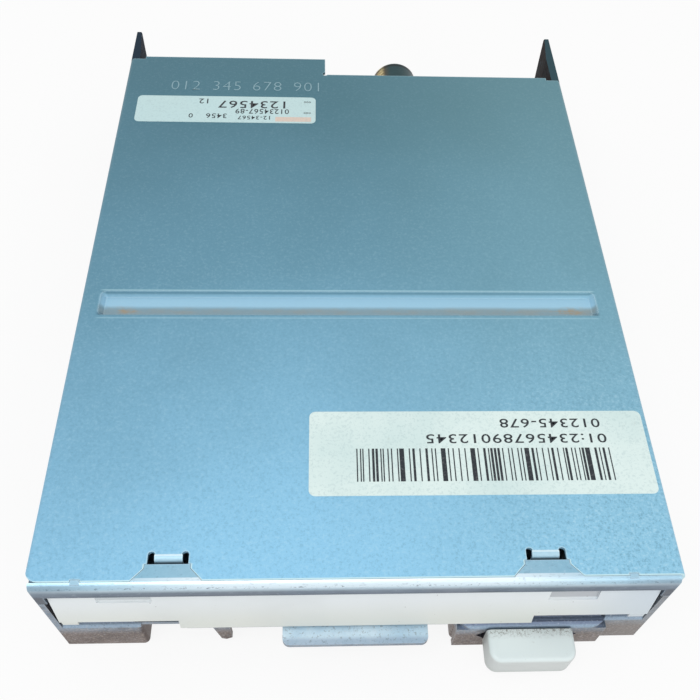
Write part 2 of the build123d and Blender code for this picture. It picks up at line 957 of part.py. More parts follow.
def make_cover():
    """Top cover with its skirts, channel, stepped rear edge and hook notches."""
    shell = span(-cover_half, cover_half, cover_front, cover_rear, cover_top - cover_short_skirt, cover_top)
    shell += both(
        span(
            wall_out + cover_side_gap,
            cover_half,
            cover_long_front,
            cover_long_rear,
            cover_top - cover_long_skirt,
            cover_top - cover_bend,
        )
    )
    top_edges = shell.edges().filter_by(Axis.Y).group_by(Axis.Z)[-1]
    shell = fillet(top_edges, cover_bend)
    inside = span(
        -wall_out - cover_side_gap,
        wall_out + cover_side_gap,
        cover_front,
        cover_rear,
        cover_top - cover_long_skirt,
        cover_under,
    )
    inner_edges = inside.edges().filter_by(Axis.Y).group_by(Axis.Z)[-1]
    shell -= fillet(inner_edges, cover_bend - cover_gauge)
    shell = with_channel(shell)
    low = cover_top - cover_long_skirt
    shell -= corner_cut(-cover_half, cover_front, cover_corner_radius, -1, -1, low, drive_height)
    shell -= span(cover_step_x, cover_half, cover_rear_right, cover_rear, low, drive_height)
    relief_y = cover_rear_right + cover_step_radius / 2
    shell -= post(cover_step_x, relief_y, cover_step_radius, low, drive_height)
    shell -= span(
        -cover_half,
        -cover_half + cover_notch_left,
        cover_rear - cover_notch_depth,
        cover_rear,
        low,
        drive_height,
    )
    shell -= span(
        cover_half - cover_notch_right,
        cover_half,
        cover_rear_right - cover_notch_depth,
        cover_rear_right,
        low,
        drive_height,
    )
    for x in hook_places:
        shell -= hook_cutter(x)
        shell += hook_tongue(x)
    for x in pip_places:
        half = pip_width / 2
        shell -= span(x - half, x + half, cover_front, cover_front + pip_depth, cover_under, drive_height)
    for y in snap_places:
        bump = rod_x(y, snap_z, snap_radius, wall_out - snap_depth, wall_out + cover_side_gap)
        shell += both(bump)
    return shell


def with_channel(shell):
    """The cover with its pressed cross channel."""
    middle_x = (channel_left + channel_right) / 2
    middle_y = (channel_front + channel_rear) / 2
    width = channel_right - channel_left
    length = channel_rear - channel_front
    place = Pos(middle_x, middle_y, cover_top)
    mouth = place * RectangleRounded(width, length, channel_corner)
    skin = RectangleRounded(width + 2 * cover_gauge, length + 2 * cover_gauge, channel_corner + cover_gauge)
    under = Pos(middle_x, middle_y, cover_under) * skin
    shell += extrude(under, -channel_depth, taper=channel_slope)
    return shell - extrude(mouth, -channel_depth, taper=channel_slope)


def hook_cutter(x):
    """Notch for the hook tab and the slot behind it."""
    low = cover_under - cut_spare
    cut = prism(hook_outline(x, seam_gap), low, drive_height)
    cut += span(
        x - hook_slot_width / 2,
        x + hook_slot_width / 2,
        hook_slot_front - seam_gap,
        hook_slot_rear,
        low,
        drive_height,
    )
    for side in (-1, 1):
        ear_x = x + side * (hook_slot_width / 2 - hook_ear_radius)
        cut += post(ear_x, hook_slot_rear, hook_ear_radius, low, drive_height)
    return cut


def hook_tongue(x):
    """Tongue of the cover that curls down behind the hook tab."""
    diagonal = math.sqrt(0.5)
    outer = hook_tongue_radius
    inner = outer - cover_gauge
    bend_y = hook_slot_rear
    bend_z = cover_top - outer
    foot = bend_z - hook_tongue_drop
    outline = [
        Line((bend_y + seam_gap, cover_top), (bend_y, cover_top)),
        ThreePointArc(
            (bend_y, cover_top),
            (bend_y - outer * diagonal, bend_z + outer * diagonal),
            (bend_y - outer, bend_z),
        ),
        Line((bend_y - outer, bend_z), (bend_y - outer, foot)),
        Line((bend_y - outer, foot), (bend_y - inner, foot)),
        Line((bend_y - inner, foot), (bend_y - inner, bend_z)),
        ThreePointArc(
            (bend_y - inner, bend_z),
            (bend_y - inner * diagonal, bend_z + inner * diagonal),
            (bend_y, cover_under),
        ),
        Line((bend_y, cover_under), (bend_y + seam_gap, cover_under)),
        Line((bend_y + seam_gap, cover_under), (bend_y + seam_gap, cover_top)),
    ]
    face = Plane.YZ.offset(x - hook_tongue_width / 2) * make_face(outline)
    return extrude(face, hook_tongue_width)


def make_crossbar():
    """Front crossbar with its end lugs, hook tabs and locating pips."""
    reach = cover_front - seam_gap
    back = bend_radius + cut_spare
    bar = bent_strip(-wall_out, wall_out, 0, cover_top, bar_face_drop, back, bar_gauge, bend_radius)
    bar -= span(-wall_out, wall_out, reach, back, cover_top - bar_gauge - cut_spare, drive_height)
    ledge_top = cover_under - seat_gap
    ledge_half = wall_in - ledge_inset
    ledge = span(-ledge_half, ledge_half, bar_gauge / 2, hook_neck_y, ledge_top - bar_gauge, ledge_top)
    bar += ledge
    face_bottom = cover_top - bar_face_drop
    bar += both(span(lug_in, wall_out, 0, bar_gauge, lug_bottom, face_bottom))
    for x in hook_places:
        bar += prism(hook_outline(x, 0), ledge_top - bar_gauge, cover_top)
    for x in pip_places:
        half = pip_width / 2 - seam_gap
        pip_front = reach - pip_depth
        bar += span(x - half, x + half, pip_front, reach + pip_depth, ledge_top - bar_gauge, cover_top)
    return bar


def make_label(x, front, size):
    """Thin paper label on the cover."""
    width, length = size
    face = RectangleRounded(width, length, label_corner)
    return Pos(x, front + length / 2, cover_top) * extrude(face, label_gauge)


def door_front_y(z):
    """Depth of the flap's leaning front face at a height."""
    share = (door_top - z) / (door_top - door_foot)
    return door_top_y + (door_foot_y - door_top_y) * share


def door_slab(x0, x1, bottom, depth_front, depth_back):
    """Leaning slab between two depths measured from the flap's front face."""
    points = (
        (door_front_y(bottom) + depth_front, bottom),
        (door_front_y(door_top) + depth_front, door_top),
        (door_front_y(door_top) + depth_back, door_top),
        (door_front_y(bottom) + depth_back, bottom),
    )
    return side_prism(points, x0, x1)


def make_door():
    """Dust flap with its end arms and hinge pins."""
    flap = door_slab(-door_half, door_half, door_wing_foot, 0, door_gauge)
    flap += door_slab(-door_mid_half, door_mid_half, door_foot, 0, door_gauge)
    long_edges = flap.edges().filter_by(Axis.X).group_by(Axis.Y)[0]
    flap = fillet(long_edges, door_edge)
    over = door_top + cut_spare
    for side, (inset, width, drop) in ((-1, door_recess_left), (1, door_recess_right)):
        outer = side * (door_half - inset)
        left, right = sorted((outer, outer - side * width))
        flap -= door_slab(left, right, door_top - drop, -cut_spare, door_recess_depth)
    foot_low = door_wing_foot - door_end_foot_height
    foot_front = door_front_y(door_wing_foot)
    foot = span(
        door_half - door_end_foot_width,
        door_half,
        foot_front + door_edge,
        foot_front + door_gauge,
        foot_low,
        door_wing_foot + door_edge,
    )
    flap += both(foot)
    pocket_low = door_axis_z - spring_leg - loose_gap
    pocket_front = door_axis_y - door_spring_radius - wire_radius - seat_gap
    pocket_rear = door_axis_y + cut_spare
    pocket_left = -door_half + door_arm_width
    flap -= span(pocket_left, -door_pocket_end, pocket_front, pocket_rear, pocket_low, over)
    arm = rod_x(door_axis_y, door_axis_z, door_arm_radius, door_half - door_arm_width, door_half)
    arm += span(
        door_half - door_arm_width,
        door_half,
        door_front_y(door_axis_z) + door_edge,
        door_axis_y,
        door_axis_z - door_arm_radius,
        door_top,
    )
    flap += both(arm)
    pin_in = door_half - door_arm_width
    flap += both(rod_x(door_axis_y, door_axis_z, door_pin_radius, pin_in, wall_out - seat_gap))
    stub_end = -door_pocket_end - seat_gap
    stub = rod_x(door_axis_y, door_axis_z, door_pin_radius, -door_half + seat_gap, stub_end)
    return flap + stub


def make_door_spring():
    """Torsion spring on the flap's left stub."""
    ledge_under = cover_under - seat_gap - bar_gauge
    rise = ledge_under - door_axis_z - seat_gap
    spring = torsion_spring(door_spring_radius, door_spring_turns, spring_leg, rise)
    start_x = -door_pocket_end - wire_radius - 2 * loose_gap
    return Pos(start_x, door_axis_y, door_axis_z) * Rot(0, -90, 0) * Rot(0, 0, -90) * spring


def make_button():
    """Eject button cap with its stem and clip block."""
    front = -button_reach
    back = -collar_reach - loose_gap
    cap = span(
        button_x - button_width / 2, button_x + button_width / 2, front, back, button_bottom, button_top
    )
    upright = cap.edges().filter_by(Axis.Z).group_by(Axis.Y)[0]
    cap = fillet(upright, button_corner)
    rims = cap.faces().sort_by(Axis.Z)[-1].edges() + cap.faces().sort_by(Axis.Z)[0].edges()
    cap = fillet([edge for edge in rims if edge.center().Y < back - seat_gap], button_edge)
    stem = span(
        button_x - stem_width / 2,
        button_x + stem_width / 2,
        back - weld,
        stem_end,
        stem_z - stem_height / 2,
        stem_z + stem_height / 2,
    )
    hollow = span(
        button_x - stem_width / 2 + stem_wall,
        button_x + stem_width / 2 - stem_wall,
        stem_hollow_front,
        stem_block_front,
        stem_z - stem_height,
        stem_z + stem_height,
    )
    pocket = span(
        button_x - tab_half - seat_gap,
        button_x + tab_half + seat_gap,
        tab_y - seat_gap,
        tab_y + slide_gauge + seat_gap,
        tab_bottom - seat_gap,
        deck_top,
    )
    return cap + stem - hollow - pocket


def make_slide():
    """Slide plate with ramp slots, button tab and spring tabs."""
    plate = span(-slide_half, slide_half, slide_front, slide_rear, slide_under, slide_top)
    plate -= span(
        -slide_open_half, slide_open_half, slide_front + slide_bridge, slide_rear, slide_under, slide_top
    )
    flange_in = slide_half - slide_gauge
    for y in flange_places:
        low = y - slide_flange_length / 2
        high = y + slide_flange_length / 2
        plate += both(span(flange_in, slide_half, low, high, slide_under, slide_flange_top))
    for y in pin_places:
        plate -= ramp_cutter(y)
    plate += span(
        button_x - tab_half, button_x + tab_half, tab_y, tab_y + slide_gauge, tab_bottom, slide_top
    )
    spring_tab = span(
        stud_x - spring_tab_half,
        stud_x + spring_tab_half,
        spring_tab_y,
        spring_tab_y + slide_gauge,
        spring_tab_bottom,
        slide_top,
    )
    plate += both(spring_tab)
    for side in (-1, 1):
        for y in stud_places:
            plate -= slot_upright(
                side * stud_x, y, y + button_travel, stud_radius + seat_gap, slide_under, slide_top
            )
    return plate


def ramp_cutter(y):
    """Sloping slot through both flanges for one pair of holder pins."""
    reach = pin_radius + ramp_gap
    flange_in = slide_half - slide_gauge
    length = math.hypot(button_travel, disk_lift)
    angle = math.degrees(math.atan2(disk_lift, button_travel))
    near = flange_in - cut_spare
    far = slide_half + cut_spare
    cut = rod_x(y, pin_z, reach, near, far)
    cut += rod_x(y + button_travel, pin_z - disk_lift, reach, near, far)
    middle = Pos((flange_in + slide_half) / 2, y + button_travel / 2, pin_z - disk_lift / 2)
    cut += middle * Rot(-angle, 0, 0) * Box(far - near, length, 2 * reach)
    return both(cut)


def make_studs():
    """Four shouldered studs riveted to the deck that guide the slide plate."""
    studs = Part()
    for side in (-1, 1):
        for y in stud_places:
            stud = post(side * stud_x, y, stud_radius, deck_under, slide_top + seat_gap)
            head_low = slide_top + seat_gap
            studs += stud + post(side * stud_x, y, stud_head_radius, head_low, head_low + stud_head)
    return studs


def make_holder():
    """Disk holder: top plate, side walls and lips, with its openings."""
    plate = span(-holder_out, holder_out, holder_front, holder_rear, plate_under, plate_top)
    side = span(holder_in, holder_out, holder_front, holder_rear, lip_bottom, plate_top)
    lip = span(holder_out - holder_lip, holder_out, holder_front, holder_rear, lip_bottom, disk_raised)
    plate += both(side + lip)
    plate += span(lift_left, lift_right, holder_rear - weld, lift_rear, plate_under, plate_top)
    plate -= post(0, spindle_y, holder_hub_opening, plate_under, plate_top)
    plate -= span(
        -holder_head_slot_half,
        holder_head_slot_half,
        holder_head_slot_front,
        holder_rear,
        plate_under,
        plate_top,
    )
    groove = SlotArc(
        CenterArc((lever_x, lever_y), lever_arm, half_turn - lever_swing, lever_swing),
        2 * (finger_radius + lever_slot_gap),
    )
    plate -= Pos(0, 0, plate_under) * extrude(groove, holder_gauge)
    plate -= post(lever_x, lever_y, lever_pin_radius, plate_under, plate_top)
    for y in pin_places:
        plate -= both(rod_x(y, pin_z, pin_radius, holder_in, holder_out))
    return plate


def make_holder_pins():
    """Four guide pins riveted in the holder's side walls."""
    pins = Part()
    for side in (-1, 1):
        for y in pin_places:
            x0, x1 = sorted((side * holder_in, side * pin_end))
            pins += rod_x(y, pin_z, pin_radius, x0, x1)
    return pins


def make_lever():
    """Shutter lever: arm, boss and finger."""
    left = lever_x - lever_arm
    lever = span(left, lever_x, lever_y - lever_half, lever_y + lever_half, lever_under, lever_top)
    lever += post(lever_x, lever_y, lever_boss, lever_under, lever_top)
    lever += post(left, lever_y, lever_half, lever_under, lever_top)
    lever += post(left, lever_y, finger_radius, lever_under - finger_reach, lever_top)
    return lever - post(lever_x, lever_y, lever_pin_radius + run_gap, lever_under, lever_top)


def make_lever_pin():
    """Pivot pin of the shutter lever with its flat head."""
    lever_pin_top = lever_top + lever_pin_rise
    pin = post(lever_x, lever_y, lever_pin_radius, plate_under, lever_pin_top)
    head_low = lever_pin_top - lever_pin_head
    return pin + post(lever_x, lever_y, lever_boss, head_low, lever_pin_top)


def make_lever_spring():
    """Torsion spring round the lever's pivot pin."""
    spring = torsion_spring(lever_spring_radius, lever_spring_turns, spring_leg, spring_leg)
    lift = lever_top + 2 * wire_radius + loose_gap
    return Pos(lever_x, lever_y, lift) * spring


def make_motor_board():
    """Iron-backed board of the spindle motor."""
    board = span(
        -motor_board_half,
        motor_board_half,
        motor_board_front,
        motor_board_rear,
        motor_board_under,
        deck_under,
    )
    for x, y in motor_screws:
        board -= post(x, y, screw_shank + press_gap, motor_board_under, deck_under)
    return board - post(0, spindle_y, bearing_radius + press_gap, motor_board_under, deck_under)


def make_motor_screws():
    """Screws that hold the motor board under the deck."""
    screws = Part()
    for x, y in motor_screws:
        screws += pan_screw(x, y, motor_board_under, deck_top, screw_head_radius)
    return screws


def around_spindle(shape, count):
    """Copies of a shape, evenly turned about the spindle axis."""
    group = Part()
    for number in range(count):
        group += Pos(0, spindle_y, 0) * Rot(0, 0, number * 360 / count) * shape
    return group


def make_stator():
    """Laminated core with wound teeth pointing outward."""
    ring = post(0, spindle_y, stator_ring_out, stator_z, motor_board_under)
    ring -= post(0, spindle_y, stator_ring_in, stator_z, motor_board_under)
    tooth_end = stator_tip_radius - stator_tip_length / 2
    tooth = span(
        stator_ring_in + weld,
        tooth_end,
        -stator_tooth_width / 2,
        stator_tooth_width / 2,
        stator_z,
        stator_z + stator_gauge,
    )
    tip = span(
        stator_tip_radius - stator_tip_length,
        stator_tip_radius,
        -stator_tip_width / 2,
        stator_tip_width / 2,
        stator_z,
        stator_z + stator_gauge,
    )
    rim = post(0, 0, stator_tip_radius, stator_z, stator_z + stator_gauge)
    pole = (tooth + tip) & rim
    return ring + around_spindle(pole, stator_teeth)


def make_coils():
    """One closed winding round each stator tooth."""
    start = stator_ring_out + seat_gap
    half = stator_tooth_width / 2 + coil_gap
    low = stator_z - coil_gap
    high = stator_z + stator_gauge + coil_gap
    wide = half + coil_thick
    solid = span(start, start + coil_length, -wide, wide, low - coil_thick, high + coil_thick)
    solid = fillet(solid.edges().filter_by(Axis.X), coil_thick / 2)
    hole = span(start, start + coil_length, -half, half, low, high)
    return around_spindle(solid - hole, stator_teeth)


def make_rotor():
    """Rotor cup with its rim and boss."""
    cup = post(0, spindle_y, rotor_radius, rotor_bottom, rotor_top)
    inside = rotor_radius - rotor_rim
    floor = rotor_bottom + rotor_gauge
    cup -= post(0, spindle_y, inside, floor, rotor_top)
    cup += post(0, spindle_y, rotor_boss_radius, rotor_bottom, rotor_bottom + rotor_boss_height)
    return cup - post(0, spindle_y, shaft_radius + press_gap, rotor_bottom, rotor_top)


def make_magnet():
    """Ring magnet inside the rotor's rim."""
    outer = rotor_radius - rotor_rim
    low = rotor_bottom + rotor_gauge
    ring = post(0, spindle_y, outer, low, rotor_top)
    return ring - post(0, spindle_y, outer - magnet_radial, low, rotor_top)


def make_bearing():
    """Flanged bush that carries the spindle shaft."""
    bush = post(0, spindle_y, bearing_radius, bearing_bottom, deck_top)
    bush += post(0, spindle_y, bearing_flange_radius, deck_top, deck_top + bearing_flange)
    return bush - post(0, spindle_y, shaft_radius + run_gap, 0, drive_height)


def make_hub():
    """Hub plate that the disk's metal centre sits on."""
    hub = post(0, spindle_y, hub_radius, hub_under, hub_top)
    hub -= post(0, spindle_y, shaft_radius, hub_under, hub_top)
    return hub - post(drive_pin_offset, spindle_y, drive_pin_radius, hub_under, hub_top)


def make_shaft():
    """Spindle shaft with a rounded tip."""
    shaft = post(0, spindle_y, shaft_radius, rotor_bottom, shaft_top)
    return fillet(shaft.edges().group_by(Axis.Z)[-1], shaft_tip)


def make_drive_pin():
    """Pin that drives the disk's metal centre."""
    pin = post(drive_pin_offset, spindle_y, drive_pin_radius, hub_under, hub_top + drive_pin_rise)
    return fillet(pin.edges().group_by(Axis.Z)[-1], drive_pin_tip)


def make_carriage():
    """Head carriage: cross bar, long neck, pivot ears, follower post and sensor flag."""
    bar = span(
        -carriage_half, carriage_half, carriage_front, carriage_rear, carriage_bottom, carriage_top
    )
    bar = fillet(bar.edges().filter_by(Axis.Y).group_by(Axis.Z)[-1], carriage_edge)
    bar += span(
        -carriage_neck_half,
        carriage_neck_half,
        carriage_neck_front,
        carriage_rear - weld,
        carriage_neck_bottom,
        carriage_neck_top,
    )
    bar -= span(
        -carriage_neck_half - cut_spare,
        carriage_neck_half + cut_spare,
        deck_opening_rear - loose_gap,
        carriage_rear,
        carriage_neck_bottom,
        carriage_bottom,
    )
    ear = span(
        ear_in,
        ear_out,
        arm_axis_y - ear_half,
        arm_axis_y + ear_half,
        carriage_top - weld,
        arm_axis_z + ear_rise,
    )
    bar += both(ear)
    post_half = follower_post
    bar += span(
        screw_x - post_half,
        screw_x + post_half,
        follower_y() - post_half,
        follower_y() + post_half,
        carriage_top - weld,
        carriage_top + loose_gap,
    )
    bar += span(
        carriage_half - weld,
        flag_reach,
        sensor_front + loose_gap,
        sensor_rear - loose_gap,
        flag_z - flag_gauge / 2,
        flag_z + flag_gauge / 2,
    )
    bar -= rod_y(-guide_offset, guide_z, guide_radius + run_gap, carriage_front, carriage_rear)
    slot_low = guide_z - guide_radius - run_gap
    slot_high = guide_z + guide_radius + run_gap
    bar -= rod_y(guide_offset, guide_z, guide_radius + run_gap, carriage_front, carriage_rear)
    bar -= span(
        guide_offset - guide_radius, guide_offset, carriage_front, carriage_rear, slot_low, slot_high
    )
    return bar - rod_x(arm_axis_y, arm_axis_z, arm_pin_radius, -ear_out, ear_out)


def make_head(z0, z1):
    """Block head with rounded edges on the face that meets the disk."""
    half = head_size / 2
    return span(-half, half, head_y - half, head_y + half, z0, z1)


def make_lower_head():
    """Lower read and write head on the carriage's neck."""
    top = disk_loaded + head_rise
    head = make_head(carriage_neck_top, top)
    return fillet(head.edges().group_by(Axis.Z)[-1], head_edge)


def make_upper_head():
    """Upper read and write head under the arm."""
    head = make_head(upper_head_low(), arm_under)
    return fillet(head.edges().group_by(Axis.Z)[0], head_edge)


def upper_head_low():
    """Lowest level of the raised upper head, clear of a raised disk."""
    return disk_raised + disk_thick + arm_lift_gap


def make_arm():
    """Upper arm with its knuckles and lifting tab."""
    plate_rear = arm_axis_y - arm_knuckle_half - arm_neck
    arm = span(-arm_half, arm_half, arm_front, plate_rear, arm_under, arm_top)
    for side in (-1, 1):
        middle = side * arm_half
        arm += span(middle - arm_rib, middle + arm_rib, arm_front, plate_rear, arm_under, arm_top + arm_rib)
    knuckle = span(
        arm_knuckle_in,
        arm_knuckle_out,
        plate_rear - weld,
        arm_axis_y + arm_knuckle_half,
        arm_axis_z - arm_knuckle_half,
        arm_top,
    )
    arm += both(knuckle)
    tab_front = arm_tab_y - arm_tab_half
    tab_rear = arm_tab_y + arm_tab_half
    arm += span(arm_tab_left, -arm_half, tab_front, tab_rear, arm_axis_z, arm_top)
    bore = arm_pin_radius + run_gap
    return arm - rod_x(arm_axis_y, arm_axis_z, bore, -arm_knuckle_out, arm_knuckle_out)


def make_arm_pin():
    """Pivot pin of the upper arm, held in the carriage's ears."""
    return rod_x(arm_axis_y, arm_axis_z, arm_pin_radius, -ear_out, ear_out)


def make_arm_spring():
    """Torsion spring between the arm's knuckles."""
    drop = arm_axis_z - carriage_top - seat_gap
    spring = torsion_spring(arm_spring_radius, arm_spring_turns, arm_spring_leg, drop)
    half_run = arm_spring_turns * torsion_pitch / 2
    return Pos(half_run, arm_axis_y, arm_axis_z) * Rot(0, -90, 0) * spring


def make_follower():
    """Pin on the carriage that rides under the lead screw's thread."""
    top = screw_z - screw_radius - screw_thread_radius - seat_gap
    return post(screw_x, follower_y(), follower_radius, carriage_top + loose_gap, top)


def follower_y():
    """Place of the follower pin along the lead screw at rest."""
    return carriage_rear - follower_offset


def make_rods():
    """Two guide rods of the head carriage."""
    rods = Part()
    for side in (-1, 1):
        rods += rod_y(side * guide_offset, guide_z, guide_radius, rod_front, rod_rear)
    return rods


def make_clamps():
    """Four clamps that hold the guide rods to the deck."""
    clamps = Part()
    for side in (-1, 1):
        for front in (rod_front, rod_rear - clamp_length):
            middle = front + clamp_length / 2
            x0, x1 = sorted((side * (guide_offset - clamp_half), side * (guide_offset + clamp_half)))
            clamp = span(x0, x1, front, front + clamp_length, deck_top, carriage_top)
            e0, e1 = sorted((side * guide_offset, side * (clamp_screw_x + screw_head_radius)))
            foot_front = middle - small_head_radius
            foot_rear = middle + small_head_radius
            clamp += span(e0, e1, foot_front, foot_rear, deck_top, clamp_foot_top)
            clamp -= rod_y(side * guide_offset, guide_z, guide_radius, front, front + clamp_length)
            clamp -= post(side * clamp_screw_x, middle, screw_shank + press_gap, deck_top, clamp_foot_top)
            clamps += clamp
    return clamps


def make_clamp_screws():
    """Screws of the four rod clamps."""
    screws = Part()
    for side in (-1, 1):
        for front in (rod_front, rod_rear - clamp_length):
            y = front + clamp_length / 2
            screws += pan_screw(side * clamp_screw_x, y, clamp_foot_top, deck_under, small_head_radius)
    return screws


def make_lead_screw():
    """Lead screw with a raised helical thread, front pivot and rear tail."""
    body_rear = bracket_front - loose_gap
    core = rod_y(screw_x, screw_z, screw_radius, screw_front, body_rear)
    tail_rear = bracket_front + bracket_gauge + screw_tail_length
    core += rod_y(screw_x, screw_z, screw_tail_radius, body_rear, tail_rear)
    core += rod_y(screw_x, screw_z, screw_pivot_radius, bearing_block_front + seat_gap, screw_front)
    run = body_rear - screw_front - 2 * screw_thread_radius - thread_end
    turns = math.floor(run / screw_lead * 4) / 4
    thread = wire_form(helix_edges(screw_radius, screw_lead, turns), screw_thread_radius)
    start_y = body_rear - screw_thread_radius - seat_gap
    return core + Pos(screw_x, start_y, screw_z) * Rot(90, 0, 0) * thread


def make_screw_bearing():
    """Front bearing block of the lead screw."""
    block = span(
        screw_x - bearing_block_half,
        screw_x + bearing_block_half,
        bearing_block_front,
        bearing_block_rear,
        deck_top,
        screw_z + bearing_block_rise,
    )
    return block - rod_y(screw_x, screw_z, screw_pivot_radius + run_gap, 0, drive_depth)


def make_stepper():
    """Stepper motor can with a rounded rear rim."""
    front = bracket_front + bracket_gauge
    can = rod_y(screw_x, screw_z, stepper_radius, front, stepper_rear)
    can = fillet(can.edges().group_by(Axis.Y)[-1], stepper_edge)
    bore_end = front + screw_tail_length + loose_gap
    return can - rod_y(screw_x, screw_z, screw_tail_radius + run_gap, front, bore_end)


def make_bush():
    """Small brass bush in the stepper motor's rear end."""
    return rod_y(screw_x, screw_z, bush_radius, stepper_rear, stepper_rear + bush_length)


def make_bracket():
    """Bracket that carries the stepper motor."""
    front = bracket_front
    plate = span(
        screw_x - bracket_half, screw_x + bracket_half, front, front + bracket_gauge, deck_top, bracket_top
    )
    plate += span(
        screw_x - bracket_half,
        screw_x + bracket_half,
        front,
        front + bracket_gauge + bracket_foot,
        deck_top,
        deck_top + bar_gauge,
    )
    for side in (-1, 1):
        x = screw_x + side * bracket_screw_offset
        plate -= post(x, bracket_screw_y(), screw_shank + press_gap, deck_top, deck_top + bar_gauge)
    return plate - rod_y(screw_x, screw_z, screw_tail_radius + run_gap, front, front + bracket_gauge)


def make_bracket_screws():
    """Two screws of the stepper motor's bracket."""
    screws = Part()
    for side in (-1, 1):
        x = screw_x + side * bracket_screw_offset
        screws += pan_screw(x, bracket_screw_y(), deck_top + bar_gauge, deck_under, small_head_radius)
    return screws


def make_sensor():
    """Optical sensor with a slot for the carriage's flag."""
    left = flag_reach + loose_gap - sensor_slot_depth
    block = span(left, left + sensor_width, sensor_front, sensor_rear, deck_top, deck_top + sensor_height)
    low = flag_z - sensor_slot / 2
    return block - span(left, left + sensor_slot_depth, sensor_front, sensor_rear, low, low + sensor_slot)


def make_switches():
    """Bodies of the three sensing switches."""
    bodies = Part()
    low = deck_under - switch_height
    for x in switch_places:
        front = switch_y - switch_half
        body = span(x - switch_half, x + switch_half, front, switch_y + switch_half, low, deck_under)
        bore_low = plunger_bottom() - plunger_travel - loose_gap
        bodies += body - post(x, switch_y, plunger_radius + plunger_run, bore_low, deck_under)
    return bodies


def plunger_bottom():
    """Level of a plunger's lower end at rest."""
    return deck_under - plunger_travel - loose_gap / 2


def make_plunger(x):
    """Plunger of a sensing switch with a domed top."""
    pin = post(x, switch_y, plunger_radius, plunger_bottom(), plunger_top)
    return fillet(pin.edges().group_by(Axis.Z)[-1], plunger_edge)


def make_small_boards():
    """Two small boards under the sensing switches."""
    boards = Part()
    top = deck_under - switch_height
    for left, right in small_boards:
        boards += span(left, right, small_board_front, small_board_rear, top - small_board_gauge, top)
    return boards


def make_lamp():
    """Access lamp on the left small board, lens to the front."""
    low = deck_under - switch_height
    centre_z = low + lamp_radius
    lens = rod_y(lamp_x, centre_z, lamp_radius, lamp_front, small_board_front + weld)
    base = span(
        lamp_x - lamp_radius,
        lamp_x + lamp_radius,
        small_board_front,
        switch_y - switch_half - seat_gap,
        low,
        centre_z + lamp_radius,
    )
    return fillet(lens.edges().group_by(Axis.Y)[0], lamp_edge) + base


def make_main_board():
    """Main circuit board under the rear of the deck."""
    board = span(
        -main_board_half,
        main_board_half,
        main_board_front,
        main_board_rear,
        main_board_under,
        main_board_top,
    )
    for side in (-1, 1):
        for y in board_tab_places:
            board -= post(side * board_screw_x, y, screw_shank + press_gap, main_board_under, main_board_top)
    return board


def make_board_screws():
    """Screws that hold the main board to the chassis tabs from below."""
    screws = Part()
    tip = main_board_top + wall_gauge
    for side in (-1, 1):
        for y in board_tab_places:
            screws += pan_screw(side * board_screw_x, y, main_board_under, tip, screw_head_radius)
    return screws


def under_board(place, size_x, size_y, gauge):
    """Flat package on the underside of the main board."""
    x, y = place
    low = main_board_under - gauge
    return span(x - size_x / 2, x + size_x / 2, y - size_y / 2, y + size_y / 2, low, main_board_under)


def make_chips():
    """Controller and motor driver packages on the underside of the main board."""
    main = under_board(main_chip_place, main_chip_size, main_chip_size, main_chip_gauge)
    length, width = driver_chip_size
    return main + under_board(driver_chip_place, length, width, driver_chip_gauge)


def make_capacitors():
    """Moulded capacitors on the underside of the main board."""
    group = Part()
    length, width, gauge = capacitor_size
    for place in capacitor_places:
        group += under_board(place, length, width, gauge)
    return group


def header_columns():
    """X places of the interface header's pins."""
    first = header_x - (pin_columns - 1) * pin_pitch / 2
    return [first + column * pin_pitch for column in range(pin_columns)]


def make_header_pins():
    """Two rows of bent pins from the main board to the rear."""
    pins = Part()
    half = pin_width / 2
    rows = (
        (header_lower_z, header_front - header_tail_lower),
        (header_upper_z, header_front - header_tail_upper),
    )
    for x in header_columns():
        for z, tail_y in rows:
            pin = span(x - half, x + half, tail_y - half, header_end, z - half, z + half)
            pin += span(x - half, x + half, tail_y - half, tail_y + half, main_board_top, z + half)
            pins += pin
    return pins


def make_header():
    """Moulded base of the interface header."""
    half = pin_columns * pin_pitch / 2 + header_margin
    top = header_upper_z + pin_pitch / 2
    rear = header_front + header_depth
    base = span(header_x - half, header_x + half, header_front, rear, main_board_top, top)
    holes = Part()
    reach = pin_width / 2
    for x in header_columns():
        for z in (header_lower_z, header_upper_z):
            holes += span(x - reach, x + reach, header_front, rear, z - reach, z + reach)
    return base - holes


def power_pin_places():
    """X places of the power connector's pins."""
    first = power_x - (power_pins_count - 1) * power_pitch / 2
    return [first + number * power_pitch for number in range(power_pins_count)]


def power_pin_z():
    """Level of the power connector's pins."""
    return main_board_top + power_height / 2


def make_power_housing():
    """Power connector housing, open to the rear."""
    half = power_width / 2
    power_front = power_rear - power_length
    top = main_board_top + power_height
    body = span(power_x - half, power_x + half, power_front, power_rear, main_board_top, top)
    body -= span(
        power_x - half + power_wall,
        power_x + half - power_wall,
        power_front + power_back_wall,
        power_rear,
        main_board_top + power_wall,
        top - power_wall,
    )
    reach = pin_width / 2
    z = power_pin_z()
    for x in power_pin_places():
        body -= span(x - reach, x + reach, power_front, power_rear, z - reach, z + reach)
    return body


def make_power_pins():
    """Pins of the power connector."""
    pins = Part()
    reach = pin_width / 2
    tail = power_rear - power_length - power_tail
    z = power_pin_z()
    for x in power_pin_places():
        pin = span(x - reach, x + reach, tail, power_rear - power_pin_inset, z - reach, z + reach)
        pins += pin + span(x - reach, x + reach, tail, tail + pin_width, main_board_top, z + reach)
    return pins


